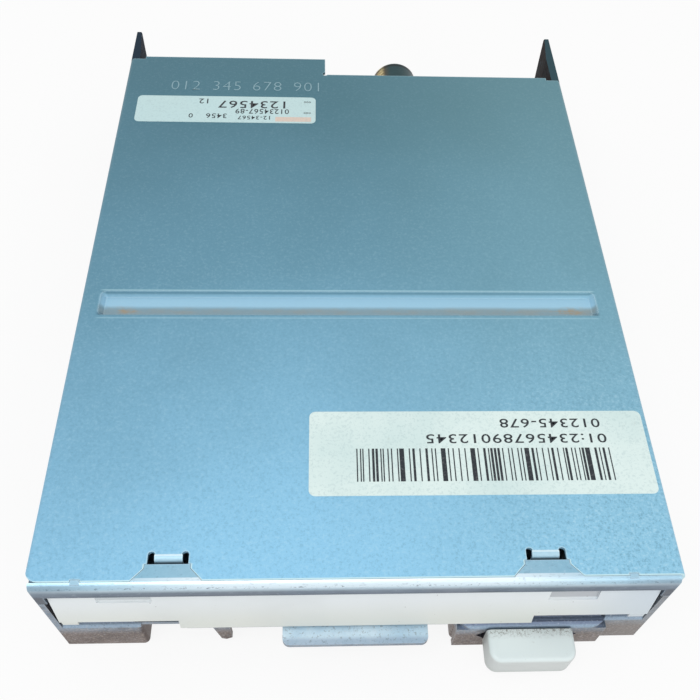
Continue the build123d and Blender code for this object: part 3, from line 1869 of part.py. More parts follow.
def make_flex():
    """Flat cable that loops from the carriage's neck to its connector."""
    half = flex_width / 2
    upper = carriage_neck_bottom - flex_gauge
    lower = main_board_top + flex_connector_height / 2
    turn_radius = (upper + flex_gauge - lower) / 2
    centre_z = (upper + flex_gauge + lower) / 2
    flex_turn = flex_start - flex_overlap - flex_loop
    strip = span(-half, half, flex_turn, flex_start, upper, upper + flex_gauge)
    strip += span(-half, half, flex_turn, flex_start - flex_overlap, lower, lower + flex_gauge)
    loop = rod_x(flex_turn, centre_z, turn_radius, -half, half)
    loop -= rod_x(flex_turn, centre_z, turn_radius - flex_gauge, -half, half)
    loop &= span(-half, half, flex_turn - drive_height, flex_turn, 0, drive_height)
    return strip + loop


def make_flex_connector():
    """Connector on the main board for the heads' flat cable."""
    half = flex_width / 2 + flex_connector_margin
    top = main_board_top + flex_connector_height
    front = flex_start - flex_overlap
    return span(-half, half, front, front + flex_connector_length, main_board_top, top)


def make_slide_spring(side):
    """Spring that pulls the slide plate forward on one side."""
    start = spring_anchor_front + slide_gauge
    length = spring_tab_y - start
    form = tension_spring(slide_spring_radius, slide_spring_turns, length)
    return Pos(side * stud_x, start, slide_spring_z) * Rot(-90, 0, 0) * form


pieces = {
    "chassis": make_chassis,
    "top_cover": make_cover,
    "front_crossbar": make_crossbar,
    "small_label": lambda: make_label(small_label_x, small_label_front, small_label_size),
    "large_label": lambda: make_label(large_label_x, large_label_front, large_label_size),
    "door_flap": make_door,
    "door_spring": make_door_spring,
    "eject_button": make_button,
    "slide_plate": make_slide,
    "slide_studs": make_studs,
    "slide_spring_left": lambda: make_slide_spring(-1),
    "slide_spring_right": lambda: make_slide_spring(1),
    "disk_holder": make_holder,
    "holder_pins": make_holder_pins,
    "shutter_lever": make_lever,
    "lever_pin": make_lever_pin,
    "lever_spring": make_lever_spring,
    "motor_board": make_motor_board,
    "motor_board_screws": make_motor_screws,
    "stator_core": make_stator,
    "stator_coils": make_coils,
    "rotor_cup": make_rotor,
    "rotor_magnet": make_magnet,
    "spindle_bearing": make_bearing,
    "spindle_shaft": make_shaft,
    "hub_plate": make_hub,
    "drive_pin": make_drive_pin,
    "head_carriage": make_carriage,
    "lower_head": make_lower_head,
    "upper_arm": make_arm,
    "upper_head": make_upper_head,
    "arm_pin": make_arm_pin,
    "arm_spring": make_arm_spring,
    "follower_pin": make_follower,
    "guide_rods": make_rods,
    "rod_clamps": make_clamps,
    "clamp_screws": make_clamp_screws,
    "lead_screw": make_lead_screw,
    "screw_bearing": make_screw_bearing,
    "stepper_motor": make_stepper,
    "stepper_bush": make_bush,
    "stepper_bracket": make_bracket,
    "bracket_screws": make_bracket_screws,
    "track_sensor": make_sensor,
    "switch_bodies": make_switches,
    "protect_plunger": lambda: make_plunger(switch_places[0]),
    "disk_plunger": lambda: make_plunger(switch_places[1]),
    "density_plunger": lambda: make_plunger(switch_places[2]),
    "small_boards": make_small_boards,
    "access_lamp": make_lamp,
    "main_board": make_main_board,
    "board_screws": make_board_screws,
    "board_chips": make_chips,
    "capacitors": make_capacitors,
    "interface_header": make_header,
    "header_pins": make_header_pins,
    "power_connector": make_power_housing,
    "power_pins": make_power_pins,
    "flex_connector": make_flex_connector,
    "flex_cable": make_flex,
}

os.makedirs("parts", exist_ok=True)
for name, make in pieces.items():
    export_step(Pos(0, frame_y, 0) * make(), f"parts/{name}.step")
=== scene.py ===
import math
import random

import bmesh
import bpy
from mathutils import Matrix, Vector


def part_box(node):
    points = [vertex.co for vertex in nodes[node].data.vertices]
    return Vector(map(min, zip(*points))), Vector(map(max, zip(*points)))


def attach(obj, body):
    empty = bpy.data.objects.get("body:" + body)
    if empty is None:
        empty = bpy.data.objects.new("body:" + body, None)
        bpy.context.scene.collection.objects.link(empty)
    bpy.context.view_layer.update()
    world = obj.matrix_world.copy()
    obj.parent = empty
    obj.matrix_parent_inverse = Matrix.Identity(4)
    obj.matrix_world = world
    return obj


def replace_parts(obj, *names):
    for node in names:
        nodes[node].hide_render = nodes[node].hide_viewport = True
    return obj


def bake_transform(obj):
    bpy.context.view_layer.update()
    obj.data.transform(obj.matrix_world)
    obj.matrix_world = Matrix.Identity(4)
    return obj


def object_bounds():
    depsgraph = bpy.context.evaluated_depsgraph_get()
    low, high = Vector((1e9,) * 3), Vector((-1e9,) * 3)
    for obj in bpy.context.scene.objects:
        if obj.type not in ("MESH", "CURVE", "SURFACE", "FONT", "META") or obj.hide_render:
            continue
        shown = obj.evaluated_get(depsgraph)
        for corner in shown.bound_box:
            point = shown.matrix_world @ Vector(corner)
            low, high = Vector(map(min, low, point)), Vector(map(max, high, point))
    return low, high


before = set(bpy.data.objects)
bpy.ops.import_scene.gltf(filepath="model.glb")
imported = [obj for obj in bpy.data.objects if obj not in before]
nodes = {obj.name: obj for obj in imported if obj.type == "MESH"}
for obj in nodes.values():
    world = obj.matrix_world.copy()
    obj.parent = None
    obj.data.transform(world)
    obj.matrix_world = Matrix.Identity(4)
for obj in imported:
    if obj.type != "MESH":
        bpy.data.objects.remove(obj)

cad_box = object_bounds()
seed = random.Random(7)
mm = 0.001


def srgb(red, green, blue):
    """Linear colour from 0 to 255 display values."""
    values = []
    for part in (red, green, blue):
        share = part / 255
        values.append(share / 12.92 if share <= 0.04045 else ((share + 0.055) / 1.055) ** 2.4)
    return (*values, 1.0)


def toned(color, gain, lift=0.0):
    """Color with its parts scaled and lifted, none above 1."""
    return (*(min(1.0, part * gain + lift) for part in color[:3]), 1.0)


def corners(node):
    """Lowest and highest corner of a CAD node, in millimetres."""
    low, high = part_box(node)
    return low / mm, high / mm


# Places below are in the row frame, in millimetres, measured from CAD nodes or from x = 0

# Front bar, cover and the channel pressed across the cover
bar_corner, bar_far = corners("front_crossbar")
cover_low, cover_high = corners("top_cover")
front_plane = bar_corner.y
cover_rear = cover_high.y
bar_low = cover_high.z - 3.85
lug_start = bar_far.x - 1.5
seam_highlight_width = 0.3
channel_left = cover_low.x + 3.6
channel_right = cover_high.x - 4.2
channel_low = front_plane + 53.4
channel_high = front_plane + 59.2

# Two tabs of the bar in notches of the cover, and the cover's tongue that curls down behind each:
# the notch's outline narrows to a neck, its half width falling by outline_slope from outline_start
# These places also set where the painted highlights of the notches and tongues, and the painted shade of
# the slots, go
hook_places = (-29.4, 29.2)
outline_slope = -0.95
outline_start = 6.35
neck_half = 3.5
outline_end = 3.75
tongue_half = 2.2
tongue_front = front_plane + 4.3
tongue_crest = front_plane + 5.1
tongue_rear = front_plane + 5.4
slot_front = front_plane + 3.7
slot_rear = front_plane + 4.5

# Chassis: front lip, collar round the button, folded ears at the rear
deck_low = cover_high.z - 17.1
lip_left = -12.7
lip_right = 12.0
collar_left = 17.3
collar_right = 42.0
ear_front = cover_rear - 7.4
ear_low = cover_high.z - 15.0
ear_inner = 47.0

# Door flap and its two shallow recesses: left and right end, drop from the top, colour; that colour is
# painted shade in the recess, with some dirt
flap_low, flap_high = corners("door_flap")
flap_recess_shades = (
    (flap_low.x + 8.9, flap_low.x + 17.4, 1.9, srgb(192, 200, 204)),
    (flap_high.x - 19.3, flap_high.x - 11.3, 2.9, srgb(176, 180, 186)),
)

# Middle of the spindle
hub_low, hub_high = corners("hub_plate")
spindle_y = (hub_low.y + hub_high.y) / 2

# Labels: film, ink and type; digit_share is the height of a digit over the size of its type
label_colors = {"small_label": srgb(196, 224, 226), "large_label": srgb(226, 243, 240)}
label_corner = 1.1
label_film = 0.075
ink_lift = 0.012
bar_module = 0.2
digit_share = 0.72

# Square pins of the header, in two rows, and of the power plug
pin_width = 0.64
header_columns = 17
header_row_gap = 2.2
power_columns = 4

# Camera: place in millimetres from the middle of the front plane's foot, turns in degrees,
# focal length and optical centre in the photograph's 700 pixels
picture_size = 700
camera_place = (-5.232, -48.222, 144.554)
camera_turn = (-33.232, 2.672, 0.209)
focal_pixels = 831.93
picture_centre = (364.3, 420.0)

# Stage and light, in metres and watts; each lamp has a name, a place, a size and a power
floor_half = 1.5
floor_gap = 0.0002
floor_glow = 0.88
world_light = 0.68
lamps = (
    ("key_lamp", (-0.25, -0.35, 0.9), 0.6, 2.75),
    ("fill_lamp", (0.5, -0.7, 0.45), 0.5, 1.0),
)


class Shade:
    """One procedural material. Its coordinates are millimetres in the row frame."""

    def __init__(self, name, metallic=0.0, specular=0.5, coat=0.0):
        self.material = bpy.data.materials.new(name)
        self.material.use_nodes = True
        self.tree = self.material.node_tree
        self.tree.nodes.clear()
        self.output = self.tree.nodes.new("ShaderNodeOutputMaterial")
        self.shader = self.tree.nodes.new("ShaderNodeBsdfPrincipled")
        self.link(self.shader.outputs["BSDF"], self.output.inputs["Surface"])
        self.shader.inputs["Metallic"].default_value = metallic
        self.shader.inputs["Specular IOR Level"].default_value = specular
        self.shader.inputs["Coat Weight"].default_value = coat
        self.shader.inputs["Coat Roughness"].default_value = 0.15
        coordinates = self.tree.nodes.new("ShaderNodeTexCoord")
        self.normal = coordinates.outputs["Normal"]
        scaled = self.tree.nodes.new("ShaderNodeVectorMath")
        scaled.operation = "SCALE"
        scaled.inputs["Scale"].default_value = 1 / mm
        self.link(coordinates.outputs["Object"], scaled.inputs[0])
        self.place = scaled.outputs[0]
        self.height = None

    def link(self, source, target):
        self.tree.links.new(source, target)

    def feed(self, socket, value):
        """Links another node's output, or sets a plain value."""
        if isinstance(value, bpy.types.NodeSocket):
            self.link(value, socket)
        else:
            socket.default_value = value

    def math(self, operation, first, second=0.0, third=None):
        node = self.tree.nodes.new("ShaderNodeMath")
        node.operation = operation
        self.feed(node.inputs[0], first)
        self.feed(node.inputs[1], second)
        if third is not None:
            self.feed(node.inputs[2], third)
        return node.outputs[0]

    def axis(self, letter, vector=None):
        """One coordinate of the place, or of another vector."""
        node = self.tree.nodes.new("ShaderNodeSeparateXYZ")
        self.link(vector or self.place, node.inputs[0])
        return node.outputs[letter]

    def stretched(self, x, y, z):
        """The place with its coordinates scaled, for grain that runs one way."""
        node = self.tree.nodes.new("ShaderNodeVectorMath")
        node.operation = "MULTIPLY"
        self.link(self.place, node.inputs[0])
        node.inputs[1].default_value = (x, y, z)
        return node.outputs[0]

    def noise(self, size, detail=3.0, rough=0.55, vector=None):
        """Noise whose blotches are about size millimetres wide."""
        node = self.tree.nodes.new("ShaderNodeTexNoise")
        self.link(vector or self.place, node.inputs["Vector"])
        node.inputs["Scale"].default_value = 1 / size
        node.inputs["Detail"].default_value = detail
        node.inputs["Roughness"].default_value = rough
        return node.outputs["Fac"]

    def cells(self, size):
        """Distance to the middle of the nearest of many cells about size millimetres wide."""
        node = self.tree.nodes.new("ShaderNodeTexVoronoi")
        self.link(self.place, node.inputs["Vector"])
        node.inputs["Scale"].default_value = 1 / size
        return node.outputs["Distance"]

    def smooth(self, value, low, high):
        """0 below low, 1 above high, eased between; low above high turns it round."""
        node = self.tree.nodes.new("ShaderNodeMapRange")
        node.interpolation_type = "SMOOTHSTEP"
        flip = low > high
        self.feed(node.inputs["Value"], value)
        node.inputs["From Min"].default_value = min(low, high)
        node.inputs["From Max"].default_value = max(low, high)
        node.inputs["To Min"].default_value = 1.0 if flip else 0.0
        node.inputs["To Max"].default_value = 0.0 if flip else 1.0
        return node.outputs["Result"]

    def window(self, value, low, high, soft):
        """1 between low and high with soft ends."""
        rise = self.smooth(value, low - soft, low + soft)
        fall = self.smooth(value, high + soft, high - soft)
        return self.both(rise, fall)

    def mix(self, share, first, second):
        """First where share is 0, second where it is 1."""
        node = self.tree.nodes.new("ShaderNodeMix")
        node.data_type = "RGBA"
        self.feed(node.inputs[0], share)
        self.feed(node.inputs[6], first)
        self.feed(node.inputs[7], second)
        return node.outputs[2]

    def both(self, first, second):
        """Product of two masks, or of a mask and a share."""
        return self.math("MULTIPLY", first, second)

    def tint(self, base, mask, share, color):
        """Base, with color over it where the mask is, at most as strong as share."""
        return self.mix(self.both(mask, share), base, color)

    def edges(self, radius, low=0.02, high=0.25):
        """Mask that is 1 on sharp edges, radius millimetres wide."""
        bevel = self.tree.nodes.new("ShaderNodeBevel")
        bevel.samples = 4
        bevel.inputs["Radius"].default_value = radius * mm
        flat = self.tree.nodes.new("ShaderNodeNewGeometry")
        dot = self.tree.nodes.new("ShaderNodeVectorMath")
        dot.operation = "DOT_PRODUCT"
        self.link(bevel.outputs[0], dot.inputs[0])
        self.link(flat.outputs["Normal"], dot.inputs[1])
        return self.smooth(dot.outputs["Value"], 1 - low, 1 - high)

    def bump(self, value, depth, strength=1.0):
        """Adds a bump of depth millimetres."""
        node = self.tree.nodes.new("ShaderNodeBump")
        node.inputs["Strength"].default_value = strength
        node.inputs["Distance"].default_value = depth * mm
        self.feed(node.inputs["Height"], value)
        if self.height is not None:
            self.link(self.height, node.inputs["Normal"])
        self.height = node.outputs[0]

    def finish(self, color, roughness):
        """Feeds the shader and hands over the material."""
        self.feed(self.shader.inputs["Base Color"], color)
        self.feed(self.shader.inputs["Roughness"], roughness)
        if self.height is not None:
            self.link(self.height, self.shader.inputs["Normal"])
        return self.material


def spread(shade, value, low, high):
    """A 0 to 1 value mapped straight onto low to high."""
    return shade.math("MULTIPLY_ADD", value, high - low, low)


def ruled_metal(name, tone, deep, metallic=0.75, rough=(0.3, 0.48), grain=(1, 1, 1)):
    """Bare sheet, bar or wire: blotches, fine grain, small marks and bright edges."""
    shade = Shade(name, metallic=metallic)
    blotch = shade.noise(9, 4, 0.6)
    fine = shade.noise(0.35, 2, 0.5, shade.stretched(*grain))
    marks = shade.smooth(shade.noise(1.6, 5, 0.7), 0.6, 0.74)
    color = shade.mix(spread(shade, shade.smooth(blotch, 0.3, 0.72), 0.45, 1.0), deep, tone)
    color = shade.tint(color, marks, 0.35, deep)
    color = shade.tint(color, shade.edges(0.18), 0.6, toned(tone, 1.35, 0.03))
    shade.bump(fine, 0.006)
    return shade.finish(color, spread(shade, fine, *rough))


def moulded(name, tone, deep, rough=(0.4, 0.55), grain_depth=0.01, coat=0.0):
    """Moulded plastic: faint mottling, fine grain, handled edges and a little dust."""
    shade = Shade(name, specular=0.45, coat=coat)
    cloud = shade.noise(12, 3, 0.5)
    grain = shade.noise(0.25, 2, 0.5)
    specks = shade.smooth(shade.noise(0.9, 4, 0.75), 0.68, 0.8)
    color = shade.mix(shade.smooth(cloud, 0.3, 0.7), tone, deep)
    color = shade.tint(color, specks, 0.4, deep)
    color = shade.tint(color, shade.edges(0.15), 0.5, toned(tone, 1.15, 0.02))
    shade.bump(grain, grain_depth)
    return shade.finish(color, spread(shade, grain, *rough))


def cover_sheet(name="cover_sheet", pale=0.0):
    """Satin blue coating, finely pebbled and rusty in the channel; its darkening to the rear is painted
    reflection, and the channel's shading, pale edge lines, tongue and dark slot are painted light and
    shade.
    """
    shade = Shade(name, metallic=0.3, specular=0.4)
    x = shade.axis("X")
    y = shade.axis("Y")
    # Painted reflection: the coat is darker to the rear and lighter to the front, greener to the right
    # and darker blue to the left
    drift = shade.math("MULTIPLY_ADD", shade.noise(30, 3, 0.5), 30.0, -15.0)
    place = shade.math("ADD", y, drift)
    far = shade.smooth(place, front_plane + 135, front_plane + 40)
    near = shade.smooth(place, front_plane + 72, front_plane - 10)
    along = shade.math("MULTIPLY_ADD", near, 0.65, shade.both(far, 0.35))
    tone = shade.mix(along, srgb(71, 117, 131), srgb(148, 207, 240))
    right = shade.smooth(x, -12, 52)
    tone = shade.tint(tone, right, 0.22, srgb(140, 188, 194))
    left = shade.smooth(x, -10, -52)
    tone = shade.tint(tone, left, 0.14, srgb(60, 104, 128))
    peel = shade.cells(0.62)
    grit = shade.noise(0.3, 2, 0.6)
    mottle = shade.noise(0.5, 3, 0.7)
    ahead = shade.smooth(y, front_plane + 60, front_plane + 15)
    corner = shade.both(shade.smooth(x, 5, 45), ahead)
    pebbled = shade.math("MULTIPLY_ADD", corner, 0.14, spread(shade, along, 0.04, 0.17))
    tone = shade.tint(tone, shade.smooth(mottle, 0.5, 0.7), pebbled, srgb(206, 236, 246))
    tone = shade.tint(tone, shade.smooth(mottle, 0.5, 0.32), pebbled, srgb(50, 92, 112))
    channel_x = shade.window(x, channel_left, channel_right, 0.5)
    # Painted light and shade across the channel: a bright upper floor, a grey valley, a dark line at its
    # lower edge and pale highlights along both edges
    channel_shading_bands = (
        (channel_low + 2.4, channel_high - 0.6, 0.7, 0.8, srgb(168, 212, 236)),
        (channel_low + 0.5, channel_low + 2.3, 0.7, 0.75, srgb(140, 160, 168)),
        (channel_low - 0.1, channel_low + 0.6, 0.3, 0.85, srgb(50, 88, 106)),
        (channel_high - 0.35, channel_high - 0.1, 0.12, 0.5, srgb(70, 112, 130)),
        (channel_high + 0.1, channel_high + 0.35, 0.1, 0.6, srgb(170, 210, 220)),
        (channel_low - 0.9, channel_low - 0.7, 0.1, 0.5, srgb(170, 210, 222)),
    )
    for low, high, soft, share, color in channel_shading_bands:
        band = shade.both(shade.window(y, low, high, soft), channel_x)
        tone = shade.tint(tone, band, share, color)
    streak = shade.noise(2.4, 4, 0.75, shade.stretched(0.4, 1, 1))
    left_end = shade.window(x, channel_left + 3.2, channel_left + 6.5, 1.6)
    right_end = shade.window(x, channel_right - 8, channel_right - 3, 2)
    ends = shade.math("ADD", shade.math("MAXIMUM", left_end, right_end), 0.3)
    valley = shade.window(y, channel_low + 0.8, channel_low + 2.6, 0.7)
    rust = shade.both(shade.both(ends, valley), channel_x)
    rust = shade.both(rust, shade.smooth(streak, 0.42, 0.66))
    tone = shade.tint(tone, rust, 0.75, srgb(168, 146, 112))
    # Painted highlight on the cover's edges, stronger where the coat is lit towards the front
    rim = shade.both(shade.edges(0.4, 0.01, 0.14), spread(shade, near, 0.4, 0.85))
    tone = shade.mix(rim, tone, srgb(206, 234, 242))
    # Painted highlight: a pale strip along the cover's front edge
    seam_highlight = shade.smooth(y, cover_low.y + seam_highlight_width, cover_low.y + seam_highlight_width / 2)
    tone = shade.tint(tone, seam_highlight, 0.85, srgb(204, 236, 242))
    # Painted shade: the slot behind each tab, below the cover's surface, is made near-black
    slot = shade.window(y, slot_front, slot_rear, 0.15)
    slot = shade.both(slot, shade.smooth(shade.axis("Z"), cover_high.z - 0.3, cover_high.z - 0.6))
    tone = shade.tint(tone, slot, 0.9, srgb(18, 24, 34))
    # Painted highlights: pale lines along each notch's outline, a pale tongue, and a brighter crest where
    # the tongue curls down
    depth = shade.math("SUBTRACT", y, front_plane)
    narrowing = shade.math("MULTIPLY_ADD", depth, outline_slope, outline_start)
    half = shade.math("MAXIMUM", narrowing, neck_half)
    near_end = shade.smooth(depth, outline_end + 0.1, outline_end)
    for place in hook_places:
        aside = shade.math("ABSOLUTE", shade.math("SUBTRACT", x, place))
        line = shade.window(shade.math("SUBTRACT", aside, half), 0.02, 0.24, 0.08)
        tone = shade.tint(tone, shade.both(line, near_end), 0.8, srgb(206, 238, 244))
        across = shade.window(x, place - tongue_half, place + tongue_half, 0.1)
        body = shade.both(across, shade.window(y, tongue_front, tongue_crest, 0.2))
        tone = shade.tint(tone, body, 0.7, srgb(184, 212, 224))
        crest = shade.both(across, shade.window(y, tongue_crest, tongue_rear, 0.1))
        tone = shade.tint(tone, crest, 0.8, srgb(224, 242, 248))
    # The pale share mixes in a painted highlight, as on the raised strokes of the pressed digits
    if pale:
        tone = shade.mix(pale, tone, srgb(190, 222, 230))
    shade.bump(peel, 0.012, 0.7)
    shade.bump(grit, 0.006)
    return shade.finish(tone, spread(shade, grit, 0.36, 0.52))


def bar_sheet():
    """Plated bar: blue-grey and scuffed, with small nicks along it; its broad bright fold, blue up-facing
    side and pale upper face are painted highlight and reflection, its darker ends, lower edge and lug
    undersides painted shade.
    """
    shade = Shade("bar_sheet", metallic=0.65)
    z = shade.axis("Z")
    x = shade.axis("X")
    up = shade.axis("Z", shade.normal)
    drag = shade.noise(0.5, 3, 0.6, shade.stretched(0.18, 1, 1))
    middle = shade.smooth(shade.math("ABSOLUTE", x), 44, 20)
    blotch = shade.smooth(shade.noise(7, 4, 0.6), 0.35, 0.7)
    face = shade.mix(blotch, srgb(80, 94, 112), srgb(104, 116, 132))
    # Painted highlight on the upper face below the fold, strongest in the middle
    crown_highlight = shade.smooth(z, cover_high.z - 2.6, cover_high.z - 1.0)
    face = shade.tint(face, crown_highlight, spread(shade, middle, 0.8, 0.9), srgb(200, 222, 234))
    # Painted reflection: the up-facing side is blue, with a painted highlight at its front edge; the grey
    # face is the shaded copy
    top = shade.mix(shade.noise(0.8, 3, 0.6), srgb(112, 166, 192), srgb(132, 184, 208))
    shine = shade.mix(middle, srgb(164, 202, 222), srgb(222, 238, 247))
    ahead = shade.smooth(shade.axis("Y"), cover_low.y + 0.6, cover_low.y + 0.45)
    top = shade.mix(ahead, top, shine)
    tone = shade.mix(shade.smooth(up, 0.4, 0.98), face, top)
    # Painted highlight along the fold, strongest in the middle
    bend_highlight = shade.window(up, 0.15, 0.9, 0.25)
    tone = shade.tint(tone, bend_highlight, spread(shade, middle, 0.75, 0.95), shine)
    # Painted shade: the ends of the face are darker and bluer
    ends = shade.smooth(shade.math("ABSOLUTE", x), 38, 49)
    ends = shade.both(ends, shade.smooth(up, 0.95, 0.7))
    tone = shade.tint(tone, ends, 0.5, srgb(118, 134, 150))
    scuff = shade.noise(0.5, 4, 0.75, shade.stretched(0.5, 1, 1))
    tone = shade.tint(tone, shade.smooth(scuff, 0.56, 0.66), 0.25, srgb(88, 104, 124))
    tone = shade.tint(tone, shade.smooth(scuff, 0.42, 0.32), 0.25, srgb(206, 222, 234))
    crest = shade.window(up, 0.2, 0.5, 0.12)
    nick = shade.smooth(shade.noise(0.42, 3, 0.7, shade.stretched(0.7, 1, 1)), 0.56, 0.62)
    tone = shade.tint(tone, shade.both(nick, crest), 0.6, srgb(84, 98, 116))
    # Painted shade towards the lower edge and under the lugs
    low = shade.smooth(z, bar_low + 1.2, bar_low)
    tone = shade.tint(tone, low, 0.45, srgb(70, 78, 92))
    lug = shade.smooth(shade.math("ABSOLUTE", x), lug_start - 0.3, lug_start + 0.4)
    under = shade.smooth(z, bar_low + 0.6, bar_low - 0.2)
    tone = shade.tint(tone, shade.both(lug, under), 0.8, srgb(80, 86, 96))
    tone = shade.tint(tone, shade.edges(0.25), 0.5, srgb(206, 224, 236))
    shade.bump(drag, 0.008)
    return shade.finish(tone, spread(shade, drag, 0.3, 0.5))


def chassis_sheet():
    """Plated pressing, speckled in front; the blue-grey where it faces up and the brownish front are
    painted reflection, with painted highlights on its folds, and painted shade on the return flange,
    between the collar's ridges and on the dark ears.
    """
    shade = Shade("chassis_sheet", specular=0.15)
    x = shade.axis("X")
    y = shade.axis("Y")
    z = shade.axis("Z")
    up = shade.axis("Z", shade.normal)
    blotch = shade.noise(6, 4, 0.6)
    speck = shade.noise(0.4, 3, 0.7)
    cloudy = shade.smooth(blotch, 0.3, 0.7)
    # Painted reflection: the up-facing deck and the pale lip are bluish lit copies of the plating
    deck = shade.mix(cloudy, srgb(98, 112, 128), srgb(120, 134, 150))
    pale = shade.mix(cloudy, srgb(186, 214, 232), srgb(212, 232, 244))
    reach = shade.smooth(y, front_plane + 1.4, front_plane + 0.4)
    lip = shade.both(reach, shade.window(x, lip_left, lip_right, 0.3))
    top = shade.mix(lip, deck, pale)
    rolled = shade.both(lip, shade.smooth(y, front_plane - 2.2, front_plane - 3.2))
    top = shade.tint(top, rolled, 0.6, srgb(140, 160, 182))
    collar = shade.smooth(y, front_plane + 3.2, front_plane + 2.6)
    collar = shade.both(collar, shade.window(x, collar_left, collar_right, 0.4))
    top = shade.tint(top, collar, 0.8, srgb(118, 132, 156))
    # Painted shade: dark lines between the collar's nested ridges
    ridge_shade_lines = shade.smooth(shade.math("PINGPONG", y, 0.45), 0.16, 0.06)
    ridge_shade_lines = shade.both(ridge_shade_lines, collar)
    top = shade.tint(top, ridge_shade_lines, 0.7, srgb(56, 60, 78))
    patchy = shade.smooth(blotch, 0.35, 0.68)
    # Painted reflection: the front faces are brownish low down and blue-grey higher up, and take over
    # from the up-facing tones by their normal
    low_front = shade.mix(patchy, srgb(96, 84, 80), srgb(122, 110, 106))
    high_front = shade.mix(patchy, srgb(122, 138, 154), srgb(144, 160, 176))
    front = shade.mix(shade.smooth(z, deck_low - 3.6, deck_low + 0.4), low_front, high_front)
    scratch = shade.smooth(shade.noise(0.9, 5, 0.8, shade.stretched(0.5, 1, 1.6)), 0.55, 0.62)
    front = shade.tint(front, scratch, 0.45, srgb(176, 174, 178))
    fleck = shade.smooth(shade.noise(0.42, 3, 0.75), 0.5, 0.62)
    front = shade.tint(front, fleck, 0.5, srgb(176, 164, 152))
    stain = shade.smooth(shade.noise(2.2, 4, 0.7), 0.56, 0.66)
    front = shade.tint(front, stain, 0.35, srgb(66, 56, 54))
    front = shade.tint(front, shade.smooth(x, 36, 48), 0.45, srgb(152, 150, 148))
    tone = shade.mix(shade.smooth(up, 0.15, 0.9), front, top)
    # Painted shade on the side face of the return flange
    folded = shade.smooth(shade.axis("X", shade.normal), 0.4, 0.8)
    folded = shade.both(folded, shade.smooth(y, front_plane + 8, front_plane + 6))
    tone = shade.tint(tone, folded, 0.75, srgb(70, 52, 46))
    # Painted highlight along the fold at the top of the front
    bend_highlight = shade.both(shade.window(up, 0.15, 0.7, 0.12), shade.smooth(z, deck_low - 1.5, deck_low))
    tone = shade.tint(tone, bend_highlight, 0.6, srgb(168, 192, 214))
    tone = shade.tint(tone, shade.smooth(speck, 0.44, 0.34), 0.4, srgb(76, 72, 72))
    tone = shade.tint(tone, shade.smooth(speck, 0.58, 0.68), 0.4, srgb(200, 206, 214))
    ear = shade.smooth(y, ear_front, ear_front + 1.0)
    ear = shade.both(ear, shade.smooth(z, ear_low, ear_low + 3.0))
    ear = shade.both(ear, shade.smooth(shade.math("ABSOLUTE", x), ear_inner, ear_inner + 1.5))
    # Painted shade and reflection on the ears: dark sides, lighter tops, a different cast on each ear and
    # pale painted highlight streaks; they also lose metallic and gain roughness to stay dark
    right = shade.smooth(x, -2, 2)
    ear_shaded_side = shade.mix(right, srgb(20, 30, 42), srgb(26, 22, 24))
    ear_lit_top = shade.mix(right, srgb(34, 50, 64), srgb(50, 76, 84))
    ear_shade_tone = shade.mix(shade.smooth(up, 0.3, 0.7), ear_shaded_side, ear_lit_top)
    streak = shade.smooth(shade.noise(1.2, 3, 0.6, shade.stretched(1, 0.3, 1)), 0.55, 0.7)
    ear_shade_tone = shade.tint(ear_shade_tone, streak, 0.3, srgb(70, 88, 100))
    inside = shade.smooth(y, front_plane + 3.5, front_plane + 9)
    tone = shade.tint(tone, inside, 0.25, srgb(108, 112, 116))
    rubbed = shade.both(shade.edges(0.2), 0.4)
    fading = shade.math("MULTIPLY_ADD", ear, -0.7, 1.0)
    tone = shade.tint(tone, rubbed, fading, srgb(196, 206, 216))
    tone = shade.mix(ear, tone, ear_shade_tone)
    shade.link(shade.math("MULTIPLY_ADD", ear, -0.6, 0.6), shade.shader.inputs["Metallic"])
    shade.bump(speck, 0.012)
    shade.bump(shade.noise(4, 3, 0.5), 0.03)
    rough = shade.math("MULTIPLY_ADD", ear, 0.35, spread(shade, speck, 0.34, 0.56))
    return shade.finish(tone, rough)


def flap_plastic():
    """Off-white moulding with faint yellowing low down, dust and tiny dark specks."""
    shade = Shade("flap_plastic", specular=0.4)
    x = shade.axis("X")
    z = shade.axis("Z")
    cloud = shade.noise(16, 3, 0.5)
    fade = shade.smooth(z, flap_high.z - 1, flap_low.z + 1)
    tone = shade.mix(fade, srgb(231, 237, 240), srgb(222, 226, 220))
    tone = shade.tint(tone, shade.smooth(cloud, 0.4, 0.75), 0.3, srgb(206, 212, 212))
    cool = shade.smooth(x, 30, flap_high.x - 2)
    tone = shade.tint(tone, cool, 0.7, srgb(198, 212, 224))
    # Each recess is darkened: painted shade, with some dirt
    for left, right, drop, color in flap_recess_shades:
        floor = flap_high.z - drop
        recess_shade = shade.both(shade.window(x, left, right, 0.15), shade.smooth(z, floor - 0.1, floor + 0.1))
        tone = shade.tint(tone, recess_shade, 0.8, color)
    dust = shade.smooth(shade.noise(0.7, 4, 0.75), 0.64, 0.76)
    tone = shade.tint(tone, dust, 0.35, srgb(176, 172, 160))
    fleck = shade.smooth(shade.cells(2.6), 0.05, 0.025)
    tone = shade.tint(tone, fleck, 0.6, srgb(96, 92, 86))
    tone = shade.tint(tone, shade.edges(0.16), 0.6, srgb(250, 253, 255))
    grain = shade.noise(0.3, 2, 0.5)
    shade.bump(grain, 0.008)
    return shade.finish(tone, spread(shade, grain, 0.36, 0.52))


